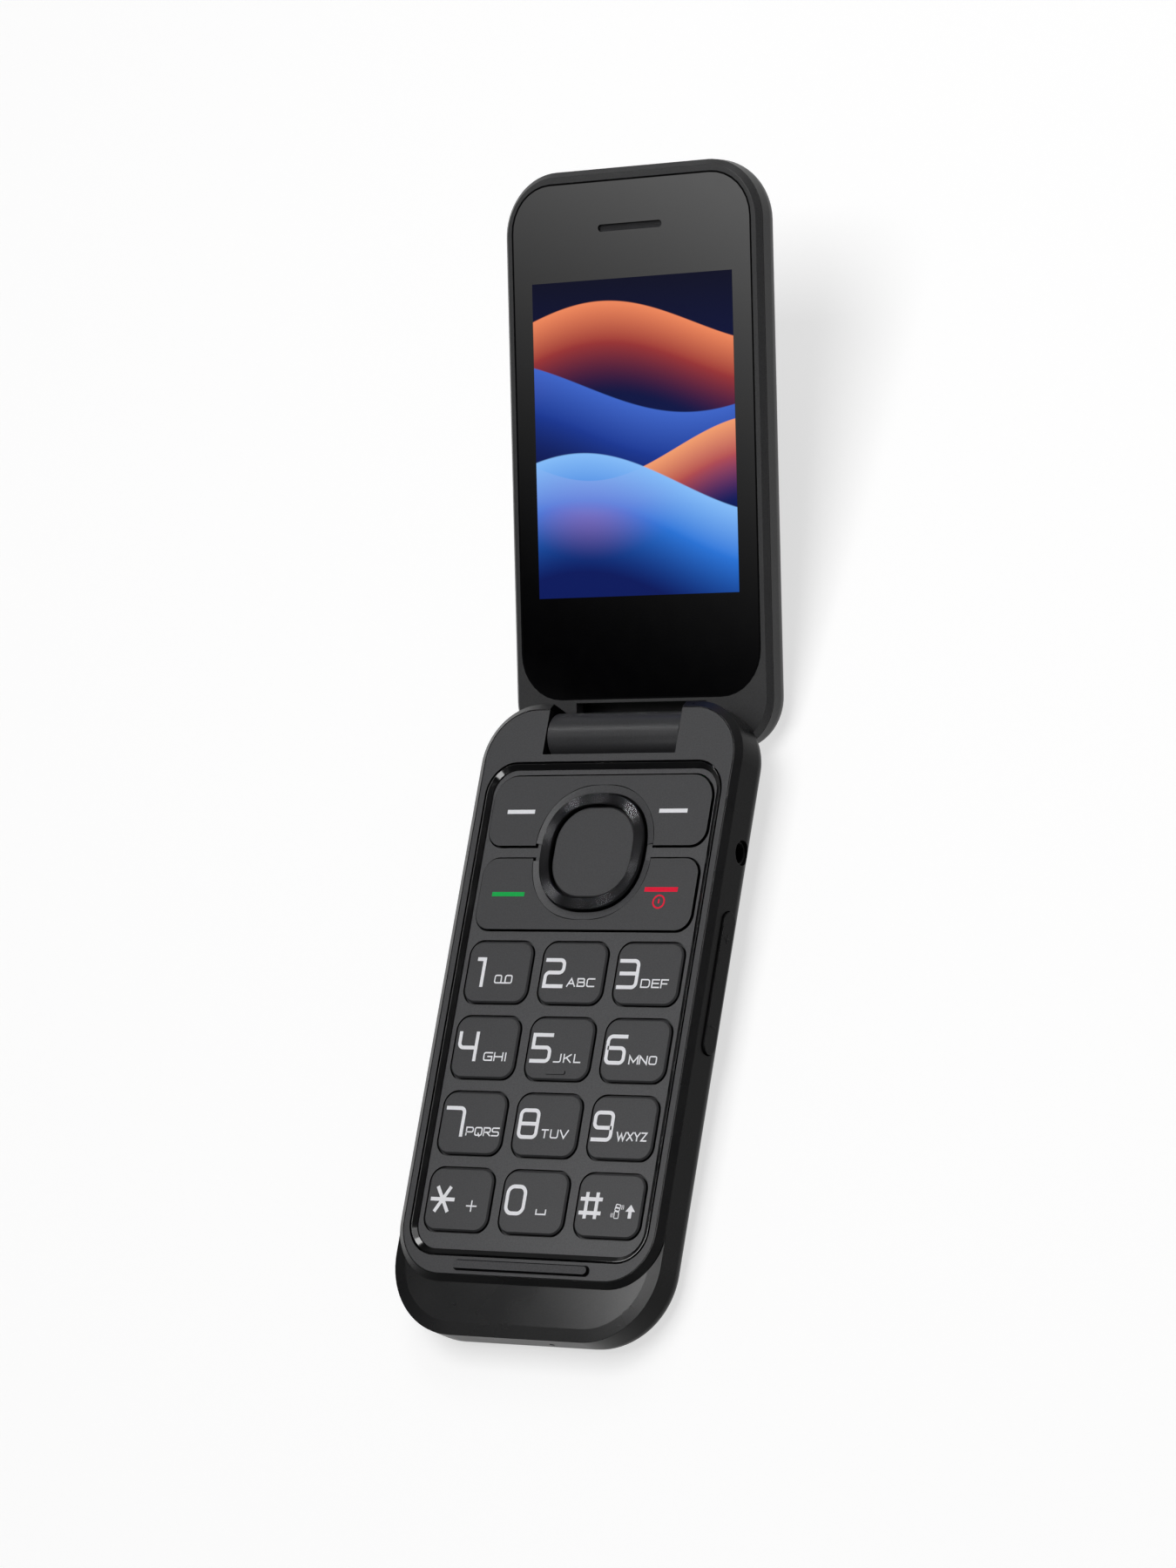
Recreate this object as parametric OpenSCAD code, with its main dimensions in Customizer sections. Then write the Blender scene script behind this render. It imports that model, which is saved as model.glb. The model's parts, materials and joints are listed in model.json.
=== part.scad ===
// Clamshell mobile phone, lid open. Millimetres, Z out of the keypad, Y towards the hinge.
// The origin is the middle of the flat back of the base.

/* [Base] */
// Width of the base across its side walls
base_w = 55.4; // [51:0.1:63]
// Length of the base from the chin to the hinge end
base_l = 115.5; // [108:0.1:126]
// Thickness of the base from its back to its front plate
base_t = 10.1; // [9.8:0.1:12]
// Plan radius of the corners at the hinge end
hinge_corner_r = 11; // [9:0.1:12]
// Plan radius of the corners at the chin
chin_corner_r = 14; // [12:0.1:16]
// Radius of the edge round the back
back_edge_r = 3.8; // [3:0.1:4]
// Thickness of the side walls
wall = 1.9; // [1.7:0.05:2]
// Width of the bevel round the front plate
rim_w = 1.25; // [0.9:0.05:1.3]
// Height of the bevel round the front plate
rim_h = 0.95; // [0.8:0.05:1.3]
// Length of the chin below the front plate
chin_l = 10.6; // [9.8:0.1:11.4]
// How far the chin lies below the front plate
chin_drop = 1; // [0.6:0.05:1.2]
// Plan radius of the lower corners of the front plate
plate_corner_r = 9; // [8:0.1:10]
// Thickness of the front plate
plate_t = 1.2; // [1:0.05:1.4]

/* [Keypad] */
// Width of the front plate beside the trim
plate_side = 1.2; // [1:0.05:1.4]
// Height of the front plate below the trim
plate_foot = 3.15; // [2.9:0.05:3.6]
// Margin of the panel beside the key columns
key_side = 1.25; // [1.1:0.05:2]
// Margin of the panel below the key rows
key_foot = 3.25; // [3:0.05:4]
// Corner radius of a number key
key_r = 2.5; // [2:0.1:3.5]
// Space between key columns
key_gap_x = 2.35; // [2:0.05:2.6]
// Space between key rows
key_gap_y = 2.55; // [2.2:0.05:2.6]
// Height of the key tops above the keypad panel
key_stand = 0.4; // [0.3:0.05:0.5]
// Depth of the key tops below the front plate
key_sink = 0.4; // [0.3:0.05:0.5]
// Travel of a key
key_travel = 0.3; // [0.2:0.05:0.35]
// Gap round a key in the panel
key_gap = 0.34; // [0.24:0.02:0.36]
// Margin of the panel beside the soft-key bar
soft_side = 0.75; // [0.7:0.05:1.5]
// Margin of the panel beside the call-key bar
call_side = 1.05; // [0.7:0.05:1.5]
// Height of the soft-key bar
soft_h = 13; // [12.6:0.05:13.2]
// Height of the call-key bar
call_h = 13.1; // [12.6:0.05:13.2]
// Outer width of the square-round navigation ring
ring_w = 21.4; // [20.8:0.1:21.8]
// Width of the select key inside the ring
select_w = 16.7; // [15.6:0.1:17]
// Width of the recess round the ring
ring_halo = 1.75; // [1.4:0.05:2]
// Height of the ring above the key tops
ring_stand = 0.8; // [0.4:0.05:0.9]
// Width of the gloss trim round the panel
trim_w = 1.25; // [1:0.05:1.3]

/* [Hinge] */
// Angle between lid and base when fully open
open_angle = 160.5; // [150:0.5:165]
// Radius of the hinge barrel on the lid
barrel_r = 4.3; // [4:0.05:4.4]
// Length of the hinge barrel
barrel_l = 27.8; // [26:0.1:29]
// Depth of the hinge axis below the front plate
hinge_drop = 4.4; // [4.4:0.05:4.8]
// Distance from the hinge axis to the hinge end of the base
ear_reach = 5.2; // [5.1:0.05:5.4]
// Gap between the closed lid and the front plate
closed_gap = 0.9; // [0.85:0.05:1.2]
// Radius of the cam shaft that turns in the cartridge
shaft_r = 1.6; // [1.4:0.05:1.8]
// Radius of the pivot that the other end turns on
pivot_r = 2.2; // [2:0.05:2.4]

/* [Lid] */
// How far the lid's sides lie inside the base's sides
lid_in = 0.25; // [0.1:0.05:0.4]
// Reach of the lid from the hinge axis to its far end
lid_reach = 102.1; // [92:0.1:108]
// Length of the lid past the hinge axis
lid_tail = 2.8; // [2.4:0.05:3]
// Thickness of the lid
lid_t = 6.8; // [6.6:0.05:8]
// Plan radius of the corners at the far end of the lid
lid_corner_r = 11.3; // [9.5:0.1:12]
// Radius of the edge round the back of the lid
lid_edge_r = 3.5; // [3:0.1:4]
// Thickness of the lid's rear cover
lid_wall = 1.2; // [1:0.05:1.3]
// Width of the bevel round the lid's front
lid_bevel = 1; // [0.7:0.05:1.2]
// Margin beside the display lens
lens_side = 2.1; // [1.9:0.05:2.4]
// Margin beyond the display lens at the far end
lens_top = 2.4; // [2.2:0.05:3]
// Distance from the hinge axis to the display lens
lens_foot = 6.9; // [6.7:0.05:8]
// Plan corner radius of the display lens
lens_r = 8.3; // [7:0.1:9]
// Width of the black border beside the lit display
display_side = 4; // [3.6:0.05:6]
// Distance from the far edge of the lens to the earpiece slot
earpiece_top = 8.4; // [7:0.1:9]
// Distance from the earpiece slot to the lit display
display_top = 9.2; // [8:0.1:12]
// Distance from the hinge edge of the lens to the lit display
display_rise = 18.25; // [17.5:0.05:20]
// Thickness of the display lens
lens_t = 0.9; // [0.7:0.05:1]
// Length of the earpiece slot
earpiece_l = 13.6; // [12:0.1:14]
// Width of the earpiece slot
earpiece_w = 1.25; // [1:0.05:1.6]

/* [Ports] */
// Bore radius of the headset socket
jack_r = 1.8; // [1.78:0.01:1.9]
// Length of the volume key
volume_l = 25.6; // [22:0.1:27]
// Width of the volume key
volume_w = 3.4; // [3:0.1:3.6]
// Height that the volume key stands out of the wall
volume_stand = 0.4; // [0.3:0.05:0.6]

/* [Hidden] */
$fn = 64;
fit = 0.08;
seat = 0.05;
run = 0.06;
swing_gap = 0.34;
lap = 0.4;
far = 200;
plastic = "#2b2b2d";
plate_grey = "#48484a";
gloss = "#0b0b0c";
rubber = "#1c1c1e";
board_green = "#20603a";
steel = "#b8babd";

// Plan of the base
y_end = base_l/2;
y_chin = -base_l/2;
tilt = 180 - open_angle;
hinge_y = y_end - ear_reach;
hinge_z = base_t - hinge_drop;
notch_w = barrel_l + 0.4;
notch_y = hinge_y - barrel_r - 0.3;
ramp_l = 3.4;
ramp_y = notch_y - ramp_l;
lip = 0.12;
plate_in = rim_w + lip + fit;
plate_w = base_w - 2*plate_in;
plate_y0 = y_chin + chin_l;
plate_y1 = y_end - plate_in;
chin_z = base_t - chin_drop;
chin_bevel_w = 2.3;
chin_bevel_z = chin_z - 0.3;
waist_drop = 4.6;
waist_z = base_t - waist_drop;
edge_in = 4.2;
lip_z = base_t - plate_t;

// Keypad plan, counted down from the hinge notch
trim_top = 1.43;
trim_y1 = notch_y - trim_top;
panel_y1 = trim_y1 - trim_w;
soft_top = 1.3;
soft_y1 = panel_y1 - soft_top;
soft_y0 = soft_y1 - soft_h;
bar_gap = 2.4;
call_y1 = soft_y0 - bar_gap;
call_y0 = call_y1 - call_h;
ring_y = (soft_y0 + call_y1)/2;
ring_r = 9.2;
pad_in = 1.5;
pad_hole_r = 6.5;
select_stem_r = 3;
select_stem_l = 1;
home_l = 4.2;
home_w = 0.8;
home_foot = 1;
select_r = ring_r - (ring_w - select_w)/2;
trim_y0 = plate_y0 + plate_foot;
panel_y0 = trim_y0 + trim_w;
panel_w = plate_w - 2*(plate_side + trim_w);
soft_w = panel_w - 2*soft_side;
call_w = panel_w - 2*call_side;
row_top = 2.3;
row_y1 = call_y0 - row_top;
key_w = (panel_w - 2*key_side - 2*key_gap_x)/3;
key_h = (row_y1 - panel_y0 - key_foot - 3*key_gap_y)/4;
pitch_x = key_w + key_gap_x;
pitch_y = key_h + key_gap_y;
row_y = row_y1 - key_h/2;
press_in = 6;
press_x = soft_w/2 - press_in;
trim_r = 6;
trim_flange = 0.45;
bar_r_top = 4.5;
bar_r_low = 3;
bumper_l = 28;
bumper_w = 1.4;
bumper_y = (trim_y0 + plate_y0)/2;

// Heights in the base, counted down from the front plate
key_top = base_t - key_sink;
panel_top = key_top - key_stand;
panel_t = 0.7;
panel_z = panel_top - panel_t;
flange_w = 0.5;
flange_z1 = panel_z - seat;
flange_z0 = flange_z1 - flange_w;
nub_top = flange_z0 - key_travel - seat;
mat_top = nub_top - 0.35;
mat_t = 0.3;
dome_h = 0.3;
dome_r = 2.2;
tilt_dome_x = 8;
nub_r = 1.5;
mat_in = 1;
mat_r = 2;
board_top = mat_top - mat_t - dome_h - seat;
board_t = 0.8;
board_z = board_top - board_t;
board_side = 4.5;
board_foot = 1.5;
board_r = 2;
board_w = base_w - 2*board_side;
deck_top = board_z - seat;
deck_t = 0.7;
deck_z = deck_top - deck_t;
cover_t = 1.2;
cover_in = 4.4;
cover_top_r = 3;
finger_r = 5;
finger_t = 0.6;
finger_out = 2;
cover_top = 1;
cover_y1 = ramp_y - cover_top;
cover_y0 = y_chin + cover_in;
floor_z = cover_t + seat;
floor_t = 0.8;
cavity_w = base_w - 2*wall;
cavity_y0 = trim_y0 - trim_flange - 0.1;
cavity_y1 = trim_y1 + trim_flange + 0.1;
battery_side = 8.8;
battery_r = 1.5;
contact_pitch = 4;
contact_w = 1.2;
contact_h = 2.5;
battery_w = base_w - 2*battery_side;
battery_foot = 24.75;
battery_y0 = y_chin + battery_foot;
battery_head = 28;
battery_y1 = notch_y - battery_head;
battery_gap = 0.2;
rib_t = 1.5;
pocket_y0 = battery_y1 + rib_t;
pocket_side = 3.3;
pocket_w = base_w - 2*pocket_side;
chin_pocket_side = 9.3;
chin_pocket_w = base_w - 2*chin_pocket_side;
chin_wall = 4;
chin_pocket_y0 = y_chin + chin_wall;
chin_pocket_y1 = battery_y0 - rib_t;
chin_roof = 1.9;
chin_pocket_z = chin_z - chin_roof;
speaker_l = 15;
speaker_room = 2.2;
slot_pitch = 2;
slot_w = 1;
slot_in = 2;
slot_l = 8;
speaker_side = 2.5;
speaker_up = 1.75;
speaker_x0 = -chin_pocket_w/2 + speaker_side;
speaker_y0 = chin_pocket_y0 + speaker_up;
motor_r = 4;
motor_t = 2.8;
motor_in = 2;
motor_up = 10;
motor_y = speaker_y0 + motor_up;
antenna_in = 2;
antenna_back = 1;
antenna_t = 0.4;

// Hinge
lid_off = hinge_drop + closed_gap;
ear_r = lid_off - swing_gap;
scoop_r = norm([ear_reach, hinge_drop - rim_h]) + swing_gap;
ear_corner_x = base_w/2 - hinge_corner_r;
ear_pin_l = 5;
cam_head_r = 2.4;
cartridge_r = 2.9;
cartridge_x = 2;
pivot_x = 8.5;
flex_bore_r = 1.3;

// Ports, keys on the walls and screws
jack_back = 21.42;
jack_y = hinge_y - jack_back;
jack_z = 4.4;
jack_nose_r = 2.15;
jack_h = 4.7;
jack_z0 = jack_z - jack_h/2;
jack_body_l = 11;
jack_x0 = pocket_w/2 - jack_body_l;
jack_w = 6;
usb_y = jack_y;
usb_w = 8.94;
usb_h = 3.16;
usb_z = board_z - usb_h/2 - seat;
usb_l = 7.3;
usb_shell = 0.3;
usb_tongue_w = 6.6;
usb_tongue_t = 0.7;
usb_tongue_in = 1.2;
volume_back = 45.3;
volume_y = hinge_y - volume_back;
volume_z = 5.3;
switch_l = 18;
switch_w = 3.2;
sim_w = 16;
sim_off = 2;
sim_t = 1.35;
shield_in = 1;
shield_back = 2;
shield_t = 1.7;
sim_l = 14;
volume_swing = 0.4;
mic_x = 6;
mic_w = 4;
mic_l = 3;
mic_hole_r = 0.5;
mic_hole_l = 6;
screw_r = 0.6;
screw_head_r = 1.2;
screw_boss_r = 1.1;
screw_boss_l = 2;
screw_side = 7.3;
screw_x = base_w/2 - screw_side;
screw_y = plate_y0 + screw_boss_r + 0.15;
peg_side = 5;
peg_x = base_w/2 - peg_side;
peg_down = 4;
peg_y = hinge_y - peg_down;
peg_r = 1;
peg_l = 2.8;
peg_room = 0.2;

// Lid, in its own frame: front face at Z 0, hinge axis at Y 0
lid_w = base_w - 2*lid_in;
lid_hinge_corner_r = 9.5;
lid_bevel_h = 1;
frame_t = 2.2;
lens_gap = 0.1;
lens_w = lid_w - 2*lens_side;
lens_y1 = lid_reach - lens_top;
lens_floor = lens_t + seat;
earpiece_y = lens_y1 - earpiece_top;
display_w = lens_w - 2*display_side;
display_foot = lens_foot + display_rise;
display_h = earpiece_y - display_top - display_foot;
lcd_side = 1.7;
lcd_w = display_w + 2*lcd_side;
lcd_foot = 5;
lcd_y0 = display_foot - lcd_foot;
lcd_head = 2;
lcd_y1 = display_foot + display_h + lcd_head;
lcd_t = 1.9;
lcd_r = 0.95;
lid_board_in = 2;
lid_board_top = 4;
lid_board_r = 2;
earpiece_body_l = 15;
earpiece_body_w = 7;
earpiece_room = 0.5;
lid_boss_r = 1.8;
lcd_z = -lens_floor - lcd_t;
lid_board_t = 0.6;
lid_board_z1 = lcd_z - seat;
lid_board_z0 = lid_board_z1 - lid_board_t;
lid_floor = -lid_t + lid_wall;
window_w = 32;
window_h = 40;
window_top = 12;
window_y1 = lid_reach - window_top;
window_y0 = window_y1 - window_h;
window_r = 4;
window_t = 0.8;
window_ledge = 1.2;
outer_display_w = 26;
outer_display_r = 1;
outer_display_up = 16.5;
outer_display_y = window_y0 + outer_display_up;
camera_x = -7;
camera_top = 5;
camera_y = window_y1 - camera_top;
camera_r = 3.2;
flash_x = 7;
flash_r = 1.4;
pocket_edge = lens_foot - 0.8;
saddle_w = barrel_l - 0.6;
lid_screw_side = 7.2;
lid_screw_up = 5.1;
lid_screw_l = 3.6;
lid_screw_x = lid_w/2 - lid_screw_side;
lid_screw_y = lens_foot + lid_screw_up;
magnet_side = 13.2;
magnet_x = lid_w/2 - magnet_side;
magnet_l = 8;
magnet_w = 3;
magnet_in = 0.5;
magnet_t = 1.6;

// Plan outline, symmetric about the Y axis, with its own corner radius at each end
module plan(w, y0, y1, r0, r1) {
    translate([-w/2, y0 + r0]) square([w, y1 - y0 - r0 - r1]);
    translate([-w/2 + r0, y0]) square([w - 2*r0, r0]);
    translate([-w/2 + r1, y1 - r1]) square([w - 2*r1, r1]);
    for (side = [-1, 1]) {
        translate([side*(w/2 - r0), y0 + r0]) circle(r0);
        translate([side*(w/2 - r1), y1 - r1]) circle(r1);
    }
}

// The child section swept round that outline: its x runs inward from the wall, its y is height
module edge(w, y0, y1, r0, r1) {
    for (side = [0, 1]) mirror([side, 0, 0]) {
        translate([w/2, y1 - r1, 0]) rotate([90, 0, 0])
            linear_extrude(y1 - y0 - r0 - r1) mirror([1, 0, 0]) children();
        translate([w/2 - r1, y1 - r1, 0])
            rotate_extrude(angle = 90) translate([r1, 0]) mirror([1, 0, 0]) children();
        translate([w/2 - r0, y0 + r0, 0]) rotate([0, 0, -90])
            rotate_extrude(angle = 90) translate([r0, 0]) mirror([1, 0, 0]) children();
    }
    translate([-w/2 + r1, y1, 0]) rotate([90, 0, 90]) linear_extrude(w - 2*r1) mirror([1, 0, 0]) children();
    translate([-w/2 + r0, y0, 0]) rotate([90, 0, 90]) linear_extrude(w - 2*r0) children();
}

// A slab with the child as its edge section, filled inside the section
module slab(w, y0, y1, r0, r1, inset, z0, z1) {
    edge(w, y0, y1, r0, r1) children();
    translate([0, 0, z0]) linear_extrude(z1 - z0)
        plan(w - 2*inset, y0 + inset, y1 - inset, r0 - inset, r1 - inset);
}

// A straight-walled plate
module plate(w, y0, y1, r0, r1, z0, z1) {
    translate([0, 0, z0]) linear_extrude(z1 - z0) plan(w, y0, y1, r0, r1);
}

// A key cap with a bevelled top edge, centred on its own place
module cap(w, h, r, z0, z1, bevel) {
    slab(w, -h/2, h/2, r, r, 0.5*r, z0, z1)
        polygon([[0, z0], [0.7*r, z0], [0.7*r, z1], [bevel, z1], [0, z1 - bevel]]);
}

module block(x0, x1, y0, y1, z0, z1) {
    translate([x0, y0, z0]) cube([x1 - x0, y1 - y0, z1 - z0]);
}

// A rod along X between two places, on the axis at y, z
module rod(r, x0, x1, y, z) {
    translate([x0, y, z]) rotate([0, 90, 0]) cylinder(r = r, h = x1 - x0);
}

// A side profile in Y and Z, run across the whole width
module across() {
    translate([-far/2, 0, 0]) rotate([90, 0, 90]) linear_extrude(far) children();
}

module on_lid() {
    translate([0, hinge_y, hinge_z]) rotate([tilt, 0, 0]) translate([0, 0, -lid_off]) children();
}

// Edge section of the lower body: rounded back edge, upright wall, bevelled chin
module lower_section() {
    depth = edge_in + lap;
    intersection() {
        translate([back_edge_r, back_edge_r]) circle(back_edge_r);
        square(back_edge_r);
    }
    translate([back_edge_r, 0]) square([depth - back_edge_r, chin_z]);
    polygon([[0, back_edge_r], [0, chin_bevel_z], [chin_bevel_w, chin_z], [depth, chin_z],
             [depth, back_edge_r]]);
}

// Edge section of the raised part round the front plate
module upper_section() {
    depth = edge_in + lap;
    polygon([[0, back_edge_r], [0, base_t - rim_h], [rim_w, base_t], [depth, base_t],
             [depth, back_edge_r]]);
}

module base_body() {
    slab(base_w, y_chin, y_end, chin_corner_r, hinge_corner_r, edge_in, 0, chin_z) lower_section();
    slab(base_w, plate_y0 - rim_w, y_end, plate_corner_r + rim_w, hinge_corner_r,
         edge_in, back_edge_r, base_t)
        upper_section();
}

// What the swinging lid takes off the hinge end: a ramp up the back and a round end about the axis
module ear_relief() {
    d = [hinge_y - ramp_y, hinge_z];
    a = atan2(d[1], d[0]) - asin(ear_r/norm(d));
    run_l = sqrt(d*d - ear_r*ear_r);
    foot = [ramp_y + run_l*cos(a), run_l*sin(a)];
    across() {
        difference() {
            union() {
                polygon([[ramp_y, -1], [ramp_y, 0], foot, [foot[0], -1]]);
                translate([foot[0], -1]) square([far, hinge_z + 1]);
            }
            translate([hinge_y, hinge_z]) circle(ear_r);
        }
        polygon([[hinge_y + ear_r, hinge_z], [y_end, base_t - rim_h], [y_end + 1, base_t - rim_h],
                 [y_end + 1, hinge_z]]);
    }
}

module hinge_notch() {
    block(-notch_w/2, notch_w/2, notch_y, far, -1, base_t + 1);
}

module volume_slot(grow) {
    r = volume_w/2 + grow;
    translate([base_w/2 + 2, volume_y, volume_z]) rotate([0, -90, 0]) linear_extrude(wall + 3)
        plan(2*r, -volume_l/2 - grow, volume_l/2 + grow, r - 0.01, r - 0.01);
}

module usb_outline(grow, x0, x1) {
    h = usb_h/2 + grow;
    translate([x0, usb_y, usb_z]) rotate([90, 0, 90]) linear_extrude(x1 - x0) {
        translate([-usb_w/2 + usb_h/2, -h]) square([usb_w - usb_h, 2*h]);
        for (side = [-1, 1]) translate([side*(usb_w - usb_h)/2, 0]) circle(h);
    }
}

module speaker_slots(z0, z1) {
    x = speaker_x0 + speaker_l/2;
    for (i = [-2:2]) translate([x + slot_pitch*i, 0, 0])
        block(-slot_w/2, slot_w/2, speaker_y0 + slot_in, speaker_y0 + slot_in + slot_l, z0, z1);
}

module base_housing() color(plastic) {
    difference() {
        base_body();
        ear_relief();
        hinge_notch();
        // Seat of the front plate, and the room for the keypad under it
        plate(plate_w + 2*fit, plate_y0 - fit, plate_y1 + fit, plate_corner_r + fit,
              hinge_corner_r - rim_w - lip, lip_z, far);
        plate(cavity_w, cavity_y0, cavity_y1, trim_r + trim_flange, trim_r + trim_flange,
              deck_top, lip_z + 1);
        // Battery bay, its cover's seat, and the pockets above and below the battery
        plate(base_w - 2*cover_in + 2*fit, cover_y0 - fit, cover_y1 + fit, chin_corner_r - cover_in, cover_top_r,
              -1, floor_z);
        block(-battery_w/2 - battery_gap, battery_w/2 + battery_gap, battery_y0 - battery_gap,
              battery_y1 + battery_gap, 0, deck_z);
        block(-pocket_w/2, pocket_w/2, pocket_y0, cavity_y1, floor_z + floor_t, deck_top + 1);
        block(-chin_pocket_w/2, chin_pocket_w/2, chin_pocket_y0, chin_pocket_y1, floor_z + floor_t,
              chin_pocket_z);
        block(-board_w/2, board_w/2, cavity_y0 + 1, chin_pocket_y1, chin_pocket_z - 1, deck_top + 1);
        block(jack_x0 - fit, pocket_w/2, jack_y - jack_w/2 - fit, jack_y + jack_w/2 + fit,
              jack_z0 - seat, deck_top);
        for (i = [-1:1]) block(4*i - 0.7, 4*i + 0.7, battery_y1, pocket_y0 + 1, board_z - 2.6, deck_top + 1);
        // Hinge bores
        rod(cam_head_r + fit/2, notch_w/2 - 1, notch_w/2 + ear_pin_l, hinge_y, hinge_z);
        rod(pivot_r + fit/2, -notch_w/2 - ear_pin_l, -notch_w/2 + 1, hinge_y, hinge_z);
        // Openings in the side walls and the end
        rod(jack_nose_r + fit, pocket_w/2 - 1, far, jack_y, jack_z);
        usb_outline(fit, -far, -pocket_w/2 + 1);
        volume_slot(fit + 0.1);
        block(board_w/2 + seat, base_w/2 - wall, volume_y - volume_l/2 - 1.2, volume_y + volume_l/2 + 1.2,
              volume_z - volume_w/2 - 0.7, volume_z + volume_w/2 + 0.7);
        translate([mic_x, y_chin - 1, waist_z]) rotate([-90, 0, 0])
            cylinder(r = mic_hole_r, h = mic_hole_l);
        // Loudspeaker slots in the floor
        speaker_slots(0, floor_z + floor_t + 1);
        // Screw holes and the holes for the plate's pegs
        for (side = [-1, 1]) {
            translate([side*screw_x, screw_y, 0]) {
                cylinder(r = screw_r + fit, h = base_t);
                cylinder(r = screw_head_r + fit, h = floor_z + floor_t);
                translate([0, 0, lip_z - screw_boss_l - 0.1])
                    cylinder(r = screw_boss_r + fit, h = screw_boss_l + 0.2);
            }
            translate([side*peg_x, peg_y, lip_z - peg_l - peg_room])
                cylinder(r = peg_r + fit, h = peg_l + peg_room + 1);
        }
    }
}

module front_cover() color(plate_grey) {
    difference() {
        union() {
            plate(plate_w, plate_y0, plate_y1, plate_corner_r, hinge_corner_r - plate_in, lip_z, base_t);
            for (side = [-1, 1]) {
                translate([side*peg_x, peg_y, lip_z - peg_l]) cylinder(r = peg_r, h = peg_l + 0.2);
                translate([side*screw_x, screw_y, lip_z - screw_boss_l])
                    cylinder(r = screw_boss_r, h = screw_boss_l + 0.2);
            }
        }
        hinge_notch();
        plate(panel_w + 2*trim_w + 2*seat, trim_y0 - seat, trim_y1 + seat, trim_r + seat, trim_r + seat,
              -1, far);
        plate(bumper_l + 2*seat, bumper_y - bumper_w/2 - seat, bumper_y + bumper_w/2 + seat, bumper_w/2,
              bumper_w/2, base_t - 0.5, far);
        for (side = [-1, 1]) translate([side*screw_x, screw_y, 0])
            cylinder(r = screw_r + fit/2, h = lip_z + plate_t/2);
    }
}

module battery_cover() color(plastic) {
    difference() {
        plate(base_w - 2*cover_in, cover_y0, cover_y1, chin_corner_r - cover_in - fit, cover_top_r, 0,
              cover_t);
        // Finger notch and loudspeaker slots
        translate([0, cover_y0 - finger_out, -1]) cylinder(r = finger_r, h = 1 + finger_t);
        speaker_slots(-1, far);
    }
}

module keypad_trim() color(gloss) {
    edge(panel_w + 2*trim_w, trim_y0, trim_y1, trim_r, trim_r)
        polygon([[-trim_flange, lip_z - 0.6], [-trim_flange, lip_z - seat],
                 [0, lip_z - seat], [0, base_t - seat],
                 [0.1, base_t + seat], [0.3, base_t + seat], [trim_w, base_t - 0.5],
                 [trim_w, lip_z - 0.6]]);
}

module ring_plan(grow) {
    w = ring_w + 2*grow;
    plan(w, ring_y - w/2, ring_y + w/2, ring_r + grow, ring_r + grow);
}

// One of the two bars beside the ring, cut away round it
module bar_plan(w, y0, y1, r0, r1, grow) {
    difference() {
        plan(w + 2*grow, y0 - grow, y1 + grow, r0 + grow, r1 + grow);
        ring_plan(ring_halo - grow);
    }
}

module each_key() {
    for (i = [0:11]) translate([(i%3 - 1)*pitch_x, row_y - floor(i/3)*pitch_y, 0]) children();
}

module keypad_panel() color(plate_grey) {
    difference() {
        plate(panel_w - 2*seat, panel_y0 + seat, panel_y1 - seat, trim_r - trim_w, trim_r - trim_w, panel_z,
              panel_top);
        each_key() plate(key_w + 2*key_gap, -key_h/2 - key_gap, key_h/2 + key_gap, key_r + key_gap,
                         key_r + key_gap, -1, far);
        linear_extrude(far) {
            bar_plan(soft_w, soft_y0, soft_y1, bar_r_low, bar_r_top, key_gap);
            bar_plan(call_w, call_y0, call_y1, bar_r_low, bar_r_low, key_gap);
            ring_plan(key_gap);
        }
    }
}

module number_key(i) color(plate_grey) {
    translate([(i%3 - 1)*pitch_x, row_y - floor(i/3)*pitch_y, 0]) {
        cap(key_w, key_h, key_r, flange_z0, key_top, 0.3);
        plate(key_w + 2*flange_w, -key_h/2 - flange_w, key_h/2 + flange_w, key_r, key_r, flange_z0, flange_z1);
        if (i == 4) plate(home_l, -key_h/2 + home_foot, -key_h/2 + home_foot + home_w, home_w/2 - 0.01,
                          home_w/2 - 0.01, key_top - seat, key_top + 0.25);
    }
}

module key_bar(w, y0, y1, r0, r1) color(plate_grey) {
    z0 = nub_top + 0.5;
    translate([0, 0, z0]) linear_extrude(key_top - z0) bar_plan(w, y0, y1, r0, r1, 0);
}

module soft_key_bar() key_bar(soft_w, soft_y0, soft_y1, bar_r_low, bar_r_top);
module call_key_bar() key_bar(call_w, call_y0, call_y1, bar_r_low, bar_r_low);

// The ring is a flat gloss band with broken edges; the pad under it carries its other direction of tilt
module navigation_ring() color(gloss) {
    band = (ring_w - select_w)/2 - key_gap;
    z0 = nub_top + 0.5;
    z1 = key_top + ring_stand;
    edge(ring_w, ring_y - ring_w/2, ring_y + ring_w/2, ring_r, ring_r) {
        polygon([[0, z0], [0, z1 - 0.15], [0.15, z1], [band - 0.15, z1], [band, z1 - 0.15], [band, z0]]);
    }
}

module navigation_pad() color(rubber) {
    z0 = nub_top;
    difference() {
        translate([0, 0, z0]) linear_extrude(0.2) ring_plan(-pad_in);
        translate([0, ring_y, 0]) cylinder(r = pad_hole_r, h = far);
    }
}

module select_key() color(plate_grey) {
    translate([0, ring_y, 0]) {
        cap(select_w, select_w, select_r, flange_z0 + 0.4, key_top, 0.25);
        translate([0, 0, flange_z0]) cylinder(r = select_stem_r, h = select_stem_l);
    }
}

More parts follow.
